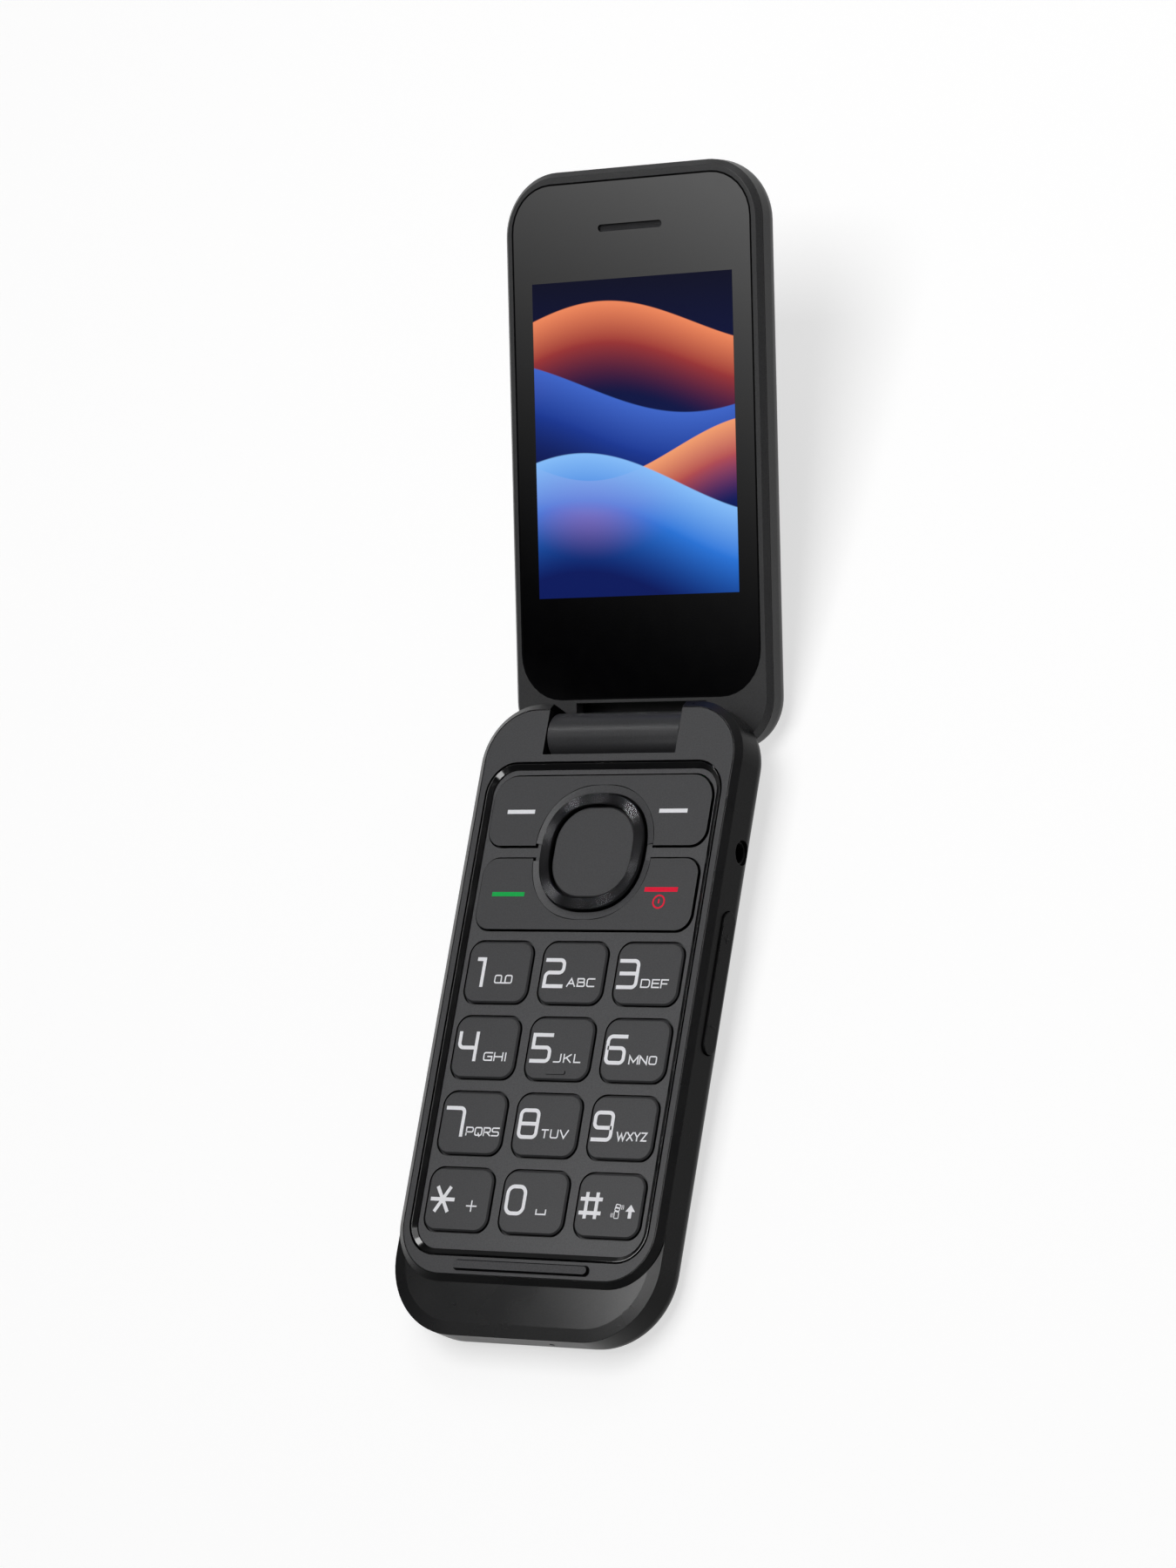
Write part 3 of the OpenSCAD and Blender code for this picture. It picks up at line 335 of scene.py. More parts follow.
# Each sign is a list of strokes in its own box, 0 to 1 each way; the third number marks a round corner.
signs = {
    "1": [[(0, 1, 0), (1, 1, 0), (1, 0, 0)]],
    "2": [[(0, 1, 0), (1, 1, 1), (1, .52, 1), (0, .52, 1), (0, 0, 0), (1, 0, 0)]],
    "3": [[(0, 1, 0), (1, 1, 1), (1, 0, 1), (0, 0, 0)], [(.08, .52, 0), (.9, .52, 0)]],
    "4": [[(0, 1, 0), (0, .45, 1), (.9, .45, 0)], [(1, 1, 0), (1, 0, 0)]],
    "5": [[(1, 1, 0), (0, 1, 0), (0, .52, 0), (1, .52, 1), (1, 0, 1), (0, 0, 0)]],
    "6": [[(1, 1, 0), (0, 1, 1), (0, 0, 1), (1, 0, 1), (1, .56, 1), (.1, .56, 0)]],
    "7": [[(0, 1, 0), (1, 1, 1), (1, 0, 0)]],
    "8": [[(0, 1, 1), (1, 1, 1), (1, 0, 1), (0, 0, 1), "loop"], [(.1, .5, 0), (.9, .5, 0)]],
    "9": [[(0, 0, 0), (1, 0, 1), (1, 1, 1), (0, 1, 1), (0, .44, 1), (.9, .44, 0)]],
    "0": [[(0, 1, 1.5), (1, 1, 1.5), (1, 0, 1.5), (0, 0, 1.5), "loop"]],
    "*": [[(0, .5, 0), (1, .5, 0)], [(.22, 1, 0), (.78, 0, 0)], [(.78, 1, 0), (.22, 0, 0)]],
    "#": [[(.25, 1, 0), (.25, 0, 0)], [(.8, 1, 0), (.8, 0, 0)], [(0, .78, 0), (1, .78, 0)],
          [(0, .17, 0), (1, .17, 0)]],
    "+": [[(0, .5, 0), (1, .5, 0)], [(.5, 1, 0), (.5, 0, 0)]],
    "space": [[(0, 1, 0), (0, 0, 0), (1, 0, 0), (1, 1, 0)]],
    "tape": [[(0, 1, 1), (.38, 1, 1), (.38, 0, 1), (0, 0, 1), "loop"],
             [(.62, 1, 1), (1, 1, 1), (1, 0, 1), (.62, 0, 1), "loop"], [(.2, 0, 0), (.8, 0, 0)]],
    "A": [[(0, 0, 0), (.5, 1, 0), (1, 0, 0)], [(.22, .34, 0), (.78, .34, 0)]],
    "B": [[(0, 0, 0), (0, 1, 0), (.92, 1, .6), (.92, .53, .6), (0, .53, 0)],
          [(.8, .53, 0), (1, .53, .6), (1, 0, .6), (0, 0, 0)]],
    "C": [[(1, 1, 0), (0, 1, 1), (0, 0, 1), (1, 0, 0)]],
    "D": [[(0, 0, 0), (0, 1, 0), (1, 1, 1.4), (1, 0, 1.4), "loop"]],
    "E": [[(1, 1, 0), (0, 1, 0), (0, 0, 0), (1, 0, 0)], [(0, .52, 0), (.9, .52, 0)]],
    "F": [[(1, 1, 0), (0, 1, 0), (0, 0, 0)], [(0, .48, 0), (.85, .48, 0)]],
    "G": [[(1, 1, 0), (0, 1, 1), (0, 0, 1), (1, 0, 0), (1, .5, 0), (.5, .5, 0)]],
    "H": [[(0, 1, 0), (0, 0, 0)], [(1, 1, 0), (1, 0, 0)], [(0, .5, 0), (1, .5, 0)]],
    "I": [[(.5, 1, 0), (.5, 0, 0)]],
    "J": [[(1, 1, 0), (1, 0, 1), (0, 0, 0)]],
    "K": [[(0, 1, 0), (0, 0, 0)], [(1, 1, 0), (.1, .45, 0)], [(.35, .6, 0), (1, 0, 0)]],
    "L": [[(0, 1, 0), (0, 0, 0), (1, 0, 0)]],
    "M": [[(0, 0, 0), (0, 1, 0), (.5, .2, 0), (1, 1, 0), (1, 0, 0)]],
    "N": [[(0, 0, 0), (0, 1, 0), (1, 0, 0), (1, 1, 0)]],
    "O": [[(0, 1, 1), (1, 1, 1), (1, 0, 1), (0, 0, 1), "loop"]],
    "P": [[(0, 0, 0), (0, 1, 0), (1, 1, 1), (1, .4, 1), (0, .4, 0)]],
    "Q": [[(0, 1, 1), (1, 1, 1), (1, 0, 1), (0, 0, 1), "loop"], [(.5, .25, 0), (.68, -.12, 0)]],
    "R": [[(0, 0, 0), (0, 1, 0), (1, 1, 1), (1, .42, 1), (0, .42, 0)], [(.5, .42, 0), (1, 0, 0)]],
    "S": [[(1, 1, 0), (0, 1, .8), (0, .5, .8), (1, .5, .8), (1, 0, .8), (0, 0, 0)]],
    "T": [[(0, 1, 0), (1, 1, 0)], [(.5, 1, 0), (.5, 0, 0)]],
    "U": [[(0, 1, 0), (0, 0, 1), (1, 0, 1), (1, 1, 0)]],
    "V": [[(0, 1, 0), (.5, 0, 0), (1, 1, 0)]],
    "W": [[(0, 1, 0), (.27, 0, 0), (.5, .8, 0), (.73, 0, 0), (1, 1, 0)]],
    "X": [[(0, 1, 0), (1, 0, 0)], [(1, 1, 0), (0, 0, 0)]],
    "Y": [[(0, 1, 0), (.5, .45, 0), (1, 1, 0)], [(.5, .45, 0), (.5, 0, 0)]],
    "Z": [[(0, 1, 0), (1, 1, 0), (0, 0, 0), (1, 0, 0)]],
}


def sign(bm, place, kind, x0, x1, y0, y1, width, corner):
    """Prints one sign of the list into a box, its strokes inside the box's edges."""
    for i, path in enumerate(signs[kind]):
        closed = path[-1] == "loop"
        spread = [(x0 + width/2 + (x1 - x0 - width)*x, y0 + width/2 + (y1 - y0 - width)*y, corner*r)
                  for x, y, r in (path[:-1] if closed else path)]
        stroke(bm, place, spread, width, closed, 0 if closed else width/2, i*ink_step)


digit_line = 0.68
digit_corner = 0.85
letter_line = 0.25
letter_corner = 0.32
letter_high = 1.62
# Key, its digit's box, then each letter with its left and right edge, and the letters' foot line.
legends = [
    ("key_1", "1", (-20.6, -18.65, 4.75, 10.2), [("tape", -16.33, -12.47)], 5.42),
    ("key_2", "2", (-5.9, -1.57, 4.75, 10.2), [("A", -.8, 1.06), ("B", 1.37, 3.08), ("C", 3.38, 5.12)], 5.01),
    ("key_3", "3", (9.7, 14, 4.75, 10.2), [("D", 14.67, 16.62), ("E", 16.95, 18.6), ("F", 18.84, 20.42)],
     5.01),
    ("key_4", "4", (-21.7, -17.4, -8.87, -3.46),
     [("G", -15.81, -13.85), ("H", -13.58, -11.59), ("I", -11.26, -10.91)], -8.75),
    ("key_5", "5", (-5.9, -1.57, -8.87, -3.46), [("J", -.87, .75), ("K", 1.2, 2.88), ("L", 3.39, 4.88)],
     -8.75),
    ("key_6", "6", (9.7, 14, -8.87, -3.46), [("M", 14.85, 16.85), ("N", 17.02, 18.72), ("O", 18.98, 20.66)],
     -8.75),
    ("key_7", "7", (-21.7, -17.4, -22.6, -17.1),
     [("P", -16.78, -15.12), ("Q", -14.92, -13.24), ("R", -13.04, -11.46), ("S", -11.28, -9.65)], -22.36),
    ("key_8", "8", (-5.9, -1.57, -22.6, -17.1), [("T", -.76, .73), ("U", 1.1, 2.82), ("V", 3.06, 4.94)],
     -22.36),
    ("key_9", "9", (9.7, 14, -22.6, -17.1),
     [("W", 14.87, 16.95), ("X", 17.05, 18.4), ("Y", 18.5, 19.85), ("Z", 19.98, 21.22)], -22.36),
    ("key_star", "*", (-21.73, -16.64, -36.27, -31.61), [], 0),
    ("key_0", "0", (-5.9, -1.57, -36.27, -30.79), [], 0),
    ("key_hash", "#", (9.77, 14.3, -36.28, -31.59), [], 0),
]
for key, digit, (x0, x1, y0, y1), letters, foot in legends:
    bm = bmesh.new()
    sign(bm, on_key_top, digit, x0, x1, y0, y1, digit_line, digit_corner)
    for letter, left, right in letters:
        sign(bm, on_key_top, letter, left, right, foot, foot + letter_high, letter_line, letter_corner)
    if key == "key_star":
        sign(bm, on_key_top, "+", -13.98, -11.74, -35.99, -33.94, letter_line, 0)
    if key == "key_0":
        sign(bm, on_key_top, "space", .81, 3.02, -36.02, -34.99, letter_line, 0)
    if key == "key_hash":
        # Shift arrow, and a ringing handset for the silent mode
        patch(bm, on_key_top, [(19.95, -35.94), (20.63, -35.94), (20.63, -34.75), (21.28, -34.75),
                               (20.29, -33.51), (19.3, -34.75), (19.95, -34.75)])
        fine = 0.16
        thick = fine*1.8
        thin = fine*0.8
        stroke(bm, on_key_top, [(17.1, -34.6, .15), (17.3, -33.5, .15), (18.2, -33.66, .15),
                                (18, -34.76, .15)], fine, True)
        stroke(bm, on_key_top, [(17.25, -34.1, 0), (17.95, -34.2, 0)], thick, lift=ink_step)
        stroke(bm, on_key_top, [(17.15, -36, .12), (17.1, -34.75, .12), (18, -34.92, .12), (18.02, -36, .12)],
               fine, True)
        for reach in (0.0, 0.32):
            stroke(bm, on_key_top, [(18.42 + reach, -33.62, 0), (18.5 + reach, -34.02, 0),
                                    (18.42 + reach, -34.42, 0)], thin)
            stroke(bm, on_key_top, [(16.86 - reach, -35.1, 0), (16.78 - reach, -35.48, 0),
                                    (16.86 - reach, -35.86, 0)], thin)
    piece("legend_" + key, bm, pale_ink, key)

# Bar mark, its bar, ink and box
bar_marks = [
    ("legend_soft_left", "soft_key_bar", pale_ink, (-19.73, -13.83, 36.93, 37.68)),
    ("legend_soft_right", "soft_key_bar", pale_ink, (12.59, 18.47, 36.93, 37.68)),
    ("legend_call", "call_key_bar", green_ink, (-20, -13.05, 21.53, 22.33)),
    ("legend_end", "call_key_bar", red_ink, (12.26, 19.14, 22.45, 23.3)),
]
off_middle = Vector((15.6, 20.65))
off_radius = 1.15
off_line = 0.3
off_turns = 36
for name, body, ink, (x0, x1, y0, y1) in bar_marks:
    bm = bmesh.new()
    stroke(bm, on_key_top, [(x0, (y0 + y1)/2, 0), (x1, (y0 + y1)/2, 0)], y1 - y0)
    if name == "legend_end":
        # The switch-off sign under the end mark: a ring with a short upright line in it
        off_ring = [(off_middle.x + off_radius*math.sin(a), off_middle.y + off_radius*math.cos(a), 0)
                    for a in (2*math.pi*k/off_turns for k in range(off_turns))]
        stroke(bm, on_key_top, off_ring, off_line, True)
        stroke(bm, on_key_top, [(off_middle.x, off_middle.y - 0.3, 0), (off_middle.x, off_middle.y + 0.5, 0)],
               off_line)
    piece(name, bm, ink, body)


# Navigation ring: a square-round band, plated in black nickel, its flat top turned on a lathe.
# The turning lines draw each light out into a soft spoke; the ring tilts four ways on the pad under it.
ring_middle = (0.0, 29.77)
ring_half = 10.7
ring_corner = 9.2
ring_band = 2.01
ring_foot = 8.2
ring_crown = 10.5
# The crown's section as steps inward, with the drop from the crown
ring_section = [(0, -0.14), (0.1, 0), (1.91, 0), (2.01, -0.14)]
ring_turns = 24
ring_crease = 30
ring_lines_mm = 0.5


def square_round(half, corner, steps):
    """Points round a square with full, even corners, counted from the right side's middle.

    The curve is the one whose diagonal is that of a square with round corners of this radius."""
    bulge = math.log(0.5)/math.log((half - corner*(1 - math.sqrt(0.5)))/half)
    points = []
    for k in range(4*steps):
        a = math.pi/2*k/steps
        reach = half/(abs(math.cos(a))**bulge + abs(math.sin(a))**bulge)**(1/bulge)
        points.append((reach*math.cos(a), reach*math.sin(a)))
    return points


bm = bmesh.new()
section = [(0.0, ring_foot)] + [(inward, ring_crown + drop) for inward, drop in ring_section]
section += [(ring_band, ring_foot)]
loops = []
for inward, height in section:
    loops.append([bm.verts.new((ring_middle[0] + x, ring_middle[1] + y, height))
                  for x, y in square_round(ring_half - inward, ring_corner - inward, ring_turns)])
wrap(bm, loops + loops[:1])
spun_black = material("turned_black_nickel")
place = add(spun_black, "TexCoord")
lines = add(spun_black, "TexNoise", {"Vector": place.outputs["Object"], "Scale": 1000/ring_lines_mm,
                                     "Detail": 3.0})
colour = add(spun_black, "Mix", {0: lines.outputs["Fac"], 6: linear("#424244"), 7: linear("#4b4b4d")},
             data_type="RGBA")
shine = add(spun_black, "MapRange", {"Value": lines.outputs["Fac"], "To Min": 0.15, "To Max": 0.175})
around = add(spun_black, "Tangent", direction_type="RADIAL", axis="Z")
skin = add(spun_black, "BsdfPrincipled", {"Base Color": colour.outputs[2], "Metallic": 1.0,
                                          "Roughness": shine.outputs["Result"], "Anisotropic": 0.95,
                                          "Anisotropic Rotation": 0.25, "Tangent": around.outputs[0]})
add(spun_black, "OutputMaterial", {"Surface": skin.outputs[0]})
ring = piece("navigation_ring_turned", bm, spun_black, "navigation_ring")
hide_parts("navigation_ring")
ring.data.set_sharp_from_angle(angle=math.radians(ring_crease))


# Ring surround: the dished edge of the panel that runs down to the ring, above and below the strip
# between the two key bars; moulded with the panel and lacquered with it.
# The section as steps out from the ring, with heights
dish_section = [(0.35, 9.25), (0.35, 9.34), (1.72, 9.68), (1.72, 9.25)]
dish_cut = 1.2
dish_crease = 40
for name, upward in (("ring_surround_upper", 1), ("ring_surround_lower", -1)):
    bm = bmesh.new()
    loops = []
    for out, height in dish_section:
        half = ring_half + out
        arc = [(x, y) for x, y in square_round(half, ring_corner + out, ring_turns) if y > dish_cut]
        loops.append([bm.verts.new((ring_middle[0] + x, ring_middle[1] + upward*y, height)) for x, y in arc])
    for a, b in zip(loops, loops[1:] + loops[:1]):
        for i in range(len(a) - 1):
            bm.faces.new((a[i], a[i + 1], b[i + 1], b[i])).smooth = True
    bm.faces.new([loop[0] for loop in loops])
    bm.faces.new([loop[-1] for loop in loops])
    dish = piece(name, bm, grey_panel, "base")
    dish.data.set_sharp_from_angle(angle=math.radians(dish_crease))


# Lid bumper: a bar of dark silicone rubber, glued into a slot in the front plate.
# The closed lid comes down on it; rubber is dull and slightly dusty. Its sides are painted darker as shade,
# and a black line round its foot is painted shadow.
bumper_rubber = moulded("dark_silicone_rubber", "#3a3a3c", "#464648", 0.65, 0.3, 0.35, 0.01, 0.1, "#101011")
dress(bumper_rubber, "lid_bumper")
bumper_half, bumper_y0, bumper_y1 = 14.0, -46.275, -44.875
bumper_round = 0.68
shadow_line_wide = 0.56
plate_top = 10.1


def on_plate(x, y, h):
    return (x, y, plate_top + h)


# Painted shadow: a thin near-black line on the plate round the bumper's foot stands in for the shade of its
# groove.
bm = bmesh.new()
stroke(bm, on_plate, box_path(bumper_half, bumper_y0, bumper_y1, bumper_round), shadow_line_wide, True)
shadow_line_look = moulded("painted_shadow_line", "#040405", "#070708", 0.7, 0.05, 0.3, 0.005, 0.05)
piece("bumper_painted_shadow", bm, shadow_line_look, "base")
# Keypad mat and ring pad lie under the panel; the same rubber in black, dull, shows only in gaps.
inner_rubber = moulded("black_silicone_rubber", "#111112", "#19191a", 0.6, 0.3, 0.4, 0.015, 0.1)
dress(inner_rubber, "keypad_mat", "navigation_pad")


# Volume marks: a plus and a minus near the ends of the rocker, raised out of its face in the tool.
# They are the same black plastic, so only their edges catch a little light.
volume_face = 28.1
volume_height = 5.3
volume_raise = 4
mark_half = 0.75
mark_line = 0.32
volume_signs = [("volume_plus", "+", 15.15), ("volume_minus", "minus", -0.65)]
signs["minus"] = [[(0, .5, 0), (1, .5, 0)]]


def on_volume_key(x, y, h):
    return (volume_face + h*volume_raise, y, volume_height + x)


for name, kind, y in volume_signs:
    bm = bmesh.new()
    sign(bm, on_volume_key, kind, -mark_half, mark_half, y - mark_half, y + mark_half, mark_line, 0)
    piece(name, bm, black_abs, "volume_key")


# Metal pieces: stamped and turned steel and nickel plate, seen only in the sockets and inside.
# Fine turning lines blur the highlights a little.
metal_lines_mm = 0.8
metal_swing = 0.08


def plain_metal(name, dark, pale, rough):
    """Bare or plated metal with fine marks that vary its colour and gloss."""
    mat = material(name)
    place = add(mat, "TexCoord")
    lines = add(mat, "TexNoise", {"Vector": place.outputs["Object"], "Scale": 1000/metal_lines_mm,
                                  "Detail": 3.0})
    colour = add(mat, "Mix", {0: lines.outputs["Fac"], 6: linear(dark), 7: linear(pale)}, data_type="RGBA")
    shine = add(mat, "MapRange", {"Value": lines.outputs["Fac"], "To Min": rough - metal_swing,
                                  "To Max": rough + metal_swing})
    skin = add(mat, "BsdfPrincipled", {"Base Color": colour.outputs[2], "Roughness": shine.outputs["Result"],
                                       "Metallic": 1.0})
    add(mat, "OutputMaterial", {"Surface": skin.outputs[0]})
    return mat


nickel = plain_metal("nickel_plated_steel", "#a8a9ac", "#c6c7ca", 0.32)
dress(nickel, "usb_port", "shield_can", "sim_socket", "housing_screws", "key_domes", "microphone",
      "vibration_motor", "hinge_cam_shaft", "hinge_pivot", "hinge_cartridge", "lid_magnet", "lid_screws")
gold = plain_metal("gold_plated_contact", "#b8913a", "#d9b45c", 0.3)
dress(gold, "battery_contacts")
copper = plain_metal("copper_antenna_foil", "#a8683c", "#c98a58", 0.35)
dress(copper, "antenna_strip")


# Headset socket, sound pieces and volume switch: moulded black bodies behind the walls and the lens.
# Of these only the socket's dull black sleeve shows, in the hole of the right wall.
dress(inner_rubber, "headset_socket", "loudspeaker", "earpiece", "volume_switch")


# Boards and battery: green solder mask over copper tracks, and a cell in a dark printed sleeve.
# They are sealed inside and show only through openings.
board_green = moulded("green_solder_mask", "#175032", "#1f6a42", 0.4, 0.5, 1.2, 0.02, 0.05)
dress(board_green, "main_board", "lid_board")
cell_sleeve = moulded("dark_battery_sleeve", "#2c2c31", "#38383e", 0.4, 0.5, 1.5, 0.01, 0.2)
dress(cell_sleeve, "battery")


# Lid frame, rear cover and hinge barrel: the same black ABS in a slightly finer, more satin texture.
# Frame and cover are screwed together under the lens and clamp the barrel's root between them.
satin_abs = moulded("black_abs_satin", "#2a2a2b", "#353536", 0.42, 0.5, 0.25, 0.01, 0.12)
dress(satin_abs, "lid_frame")
lid_abs = moulded("black_abs_lid_shell", "#1b1b1c", "#252526", 0.4, 0.3, 0.25, 0.01, 0.15)
dress(lid_abs, "lid_rear_cover")
barrel_abs = moulded("black_abs_hinge_barrel", "#303032", "#3a3a3c", 0.36, 0.5, 0.25, 0.006, 0.1)
dress(barrel_abs, "hinge_barrel")


# Display lens and outer window: hard-coated acrylic, printed black on the back and bonded in place.
# Flat and polished, it shows one clear reflection over deep black. A dark foam seal shows round its edge.
lens_acrylic = polished("black_printed_acrylic_lens", "#030304", "#050506", 0.06, 0.05)
dress(lens_acrylic, "display_lens", "outer_window", "display_panel", "outer_display", "camera_module")
hinge_axis = (52.55, 5.7)
lid_tilt = math.radians(19.5)
lid_face = 5.3


def on_lid(x, t, h):
    """Lid place to row frame in mm: t along the lid from the hinge axis, h out of its front face."""
    return (x, hinge_axis[0] + t*math.cos(lid_tilt) - (h - lid_face)*math.sin(lid_tilt),
            hinge_axis[1] + t*math.sin(lid_tilt) + (h - lid_face)*math.cos(lid_tilt))


seal_half, seal_foot, seal_head, seal_round = 25.4, 6.85, 99.75, 8.35
seal_wide = 0.34
bm = bmesh.new()
stroke(bm, on_lid, box_path(seal_half, seal_foot, seal_head, seal_round), seal_wide, True)
seal_foam = moulded("black_foam_seal", "#040405", "#070708", 0.8, 0.03, 0.3, 0.005, 0.05)
piece("lens_seal", bm, seal_foam, "lid")


# Lit picture: the liquid-crystal panel seen through the clear part of the lens, as one thin sheet.
# It shows a plain design of soft waves in navy, orange and blue, and the coat on it swallows reflections.
picture_half = 21.35
picture_foot = 25.15
picture_head = 82.1
picture_proud = 0.03
# Along a wave's height: where its middle colour lies, where its cover is nearly full, full, and cut off
shade_middle = 0.55
cover_most, cover_full, cover_end = 0.6, 0.985, 0.995
picture = material("lit_liquid_crystal_picture")
place = add(picture, "UVMap", uv_map="picture")
axes = add(picture, "SeparateXYZ", {0: place.outputs[0]})
across, up = axes.outputs[0], axes.outputs[1]
night = add(picture, "MapRange", {"Value": up, "From Min": 0.1, "From Max": 1.0})
image = add(picture, "Mix", {0: night.outputs["Result"], 6: linear("#0a1a5c"), 7: linear("#0b0d24")},
            data_type="RGBA").outputs[2]
# Each wave: middle height, swing, waves across, start, half width, then its colours from foot to crest
waves = [
    (0.70, 0.085, 3.4, 0.4, 0.15, ("#1a0f3c", "#a83a34", "#f08a5e")),
    (0.50, 0.10, 2.9, 2.4, 0.17, ("#0a1a5a", "#1c3c9c", "#3f66c8")),
    (0.33, 0.09, 3.8, 3.6, 0.13, ("#2a1a50", "#c0503e", "#f3a070")),
    (0.16, 0.11, 3.1, 0.9, 0.19, ("#1450b8", "#2f7fe8", "#86bdf8")),
]
for middle, swing, many, start, half, colours in waves:
    phase = add(picture, "Math", {0: across, 1: many, 2: start}, operation="MULTIPLY_ADD")
    wave = add(picture, "Math", {0: phase.outputs[0]}, operation="SINE")
    line = add(picture, "Math", {0: wave.outputs[0], 1: swing, 2: middle}, operation="MULTIPLY_ADD")
    above = add(picture, "Math", {0: up, 1: line.outputs[0]}, operation="SUBTRACT")
    depth = add(picture, "MapRange", {"Value": above.outputs[0], "From Min": -half, "From Max": half})
    shades = add(picture, "ValToRGB", {0: depth.outputs["Result"]})
    shades.color_ramp.elements[0].color = linear(colours[0])
    shades.color_ramp.elements[1].color = linear(colours[2])
    shades.color_ramp.elements.new(shade_middle).color = linear(colours[1])
    cover = add(picture, "ValToRGB", {0: depth.outputs["Result"]})
    cover.color_ramp.elements[0].color = (0, 0, 0, 1)
    cover.color_ramp.elements[1].color = (0, 0, 0, 1)
    cover.color_ramp.elements[1].position = cover_end
    cover.color_ramp.elements.new(cover_most).color = (0.85, 0.85, 0.85, 1)
    cover.color_ramp.elements.new(cover_full).color = (1, 1, 1, 1)
    image = add(picture, "Mix", {0: cover.outputs[0], 6: image, 7: shades.outputs[0]},
                data_type="RGBA").outputs[2]
skin = add(picture, "BsdfPrincipled", {"Base Color": linear("#030304"), "Roughness": 0.3, "IOR": 1.5,
                                       "Specular IOR Level": 0.08, "Emission Color": image,
                                       "Emission Strength": 1.0})
add(picture, "OutputMaterial", {"Surface": skin.outputs[0]})
bm = bmesh.new()
coordinates = bm.loops.layers.uv.new("picture")
corners = [(-1, 0), (1, 0), (1, 1), (-1, 1)]
sheet = [[bm.verts.new(on_lid(picture_half*x, picture_foot + (picture_head - picture_foot)*y, h))
          for x, y in corners] for h in (-picture_proud, picture_proud)]
bm.faces.new(sheet[0][::-1])
bm.faces.new(sheet[1])
for i in range(4):
    j = (i + 1) % 4
    bm.faces.new((sheet[0][i], sheet[0][j], sheet[1][j], sheet[1][i]))
for i, place in enumerate(corners):
    for vert in (sheet[0][i], sheet[1][i]):
        for loop in vert.link_loops:
            loop[coordinates].uv = ((place[0] + 1)/2, place[1])
piece("display_picture", bm, picture, "lid")


# Earpiece mesh: a strip of fine black-coated steel gauze at the foot of the slot.
# Its holes are about 0.1 mm; they are drawn at 0.3 mm so that they show.
gauze = material("black_steel_gauze")
place = add(gauze, "TexCoord")
holes = add(gauze, "TexVoronoi", {"Vector": place.outputs["Object"], "Scale": 1000/0.3, "Randomness": 0.15})
pit = add(gauze, "MapRange", {"Value": holes.outputs["Distance"], "From Min": 0.2, "From Max": 0.5})
colour = add(gauze, "Mix", {0: pit.outputs["Result"], 6: linear("#040404"), 7: linear("#2a2a2c")},
             data_type="RGBA")
bump = add(gauze, "Bump", {"Height": pit.outputs["Result"], "Strength": 0.6, "Distance": 0.00005})
skin = add(gauze, "BsdfPrincipled", {"Base Color": colour.outputs[2], "Roughness": 0.5, "Metallic": 0.6,
                                     "Normal": bump.outputs[0]})
add(gauze, "OutputMaterial", {"Surface": skin.outputs[0]})
dress(gauze, "earpiece_mesh")


# Camera and flash in the lid's back: a turned ring with a domed glass, and a pale lamp lens.
# Both sit behind the outer window and show at its far end.
lid_back = -6.8
back_pieces_t = 85.1
camera_x, flash_x = -7, 7
back_crease = 40


def turned_on_back(name, x, profile, mat, steps=48):
    """A turned piece on the lid's back face from (radius, height out of the back) points."""
    bm = bmesh.new()
    rings = []
    for radius, out in profile:
        rings.append([bm.verts.new(on_lid(x + radius*math.cos(2*math.pi*k/steps),
                                          back_pieces_t + radius*math.sin(2*math.pi*k/steps), lid_back - out))
                      for k in range(steps)])
    wrap(bm, rings)
    bm.faces.new(rings[0])
    bm.faces.new(rings[-1])
    made = piece(name, bm, mat, "lid")
    made.data.set_sharp_from_angle(angle=math.radians(back_crease))


ring_metal = plain_metal("dark_anodised_aluminium", "#4a4b4e", "#5c5d60", 0.3)
turned_on_back("camera_ring", camera_x, [(3.3, -0.1), (3.3, 0.12), (3.15, 0.2), (2.55, 0.2), (2.4, 0.1),
                                         (2.4, 0.02)], ring_metal)
turned_on_back("camera_glass", camera_x, [(2.4, -0.05), (2.4, 0.03), (1.8, 0.07), (1.0, 0.1), (0.3, 0.115)],
               lens_acrylic)
lamp_lens = print_ink("pale_lamp_diffuser", "#d8cfa6", "#efe8c8")
turned_on_back("flash_lens", flash_x, [(1.4, -0.05), (1.4, 0.03), (1.2, 0.06), (1.0, 0.03), (0.8, 0.06),
                                       (0.6, 0.03), (0.4, 0.06), (0.15, 0.06)], lamp_lens)
dress(lamp_lens, "flash_lamp")


# Studio: a white floor that the phone lies on, tilted to touch both the chin and the lid's heel,
# soft lamps over it, a dim room, and cards that show only as reflections in lens, ring, trim and chin.
chin_rest = (-0.05395, 0.0)
heel_rest = (0.0558, -0.00567)
floor_slope = (heel_rest[1] - chin_rest[1])/(heel_rest[0] - chin_rest[0])
floor_reach = 6.0
floor_gap = 0.00015
floor_glow = 0.67
floor_white = material("white_studio_floor")
rays = add(floor_white, "LightPath")
seen = add(floor_white, "Math", {0: rays.outputs["Is Camera Ray"], 1: rays.outputs["Is Glossy Ray"]},
           operation="MAXIMUM")
seen = add(floor_white, "Math", {0: seen.outputs[0], 1: rays.outputs["Is Transmission Ray"]},
           operation="MAXIMUM")
lit = add(floor_white, "Math", {0: seen.outputs[0], 1: floor_glow}, operation="MULTIPLY")
paint = add(floor_white, "BsdfDiffuse", {"Color": linear("#b0b0b0")})
glow = add(floor_white, "Emission", {"Color": (1, 1, 1, 1), "Strength": lit.outputs[0]})
total = add(floor_white, "AddShader", {0: paint.outputs[0], 1: glow.outputs[0]})
add(floor_white, "OutputMaterial", {"Surface": total.outputs[0]})
floor_mesh = bpy.data.meshes.new("studio_floor")
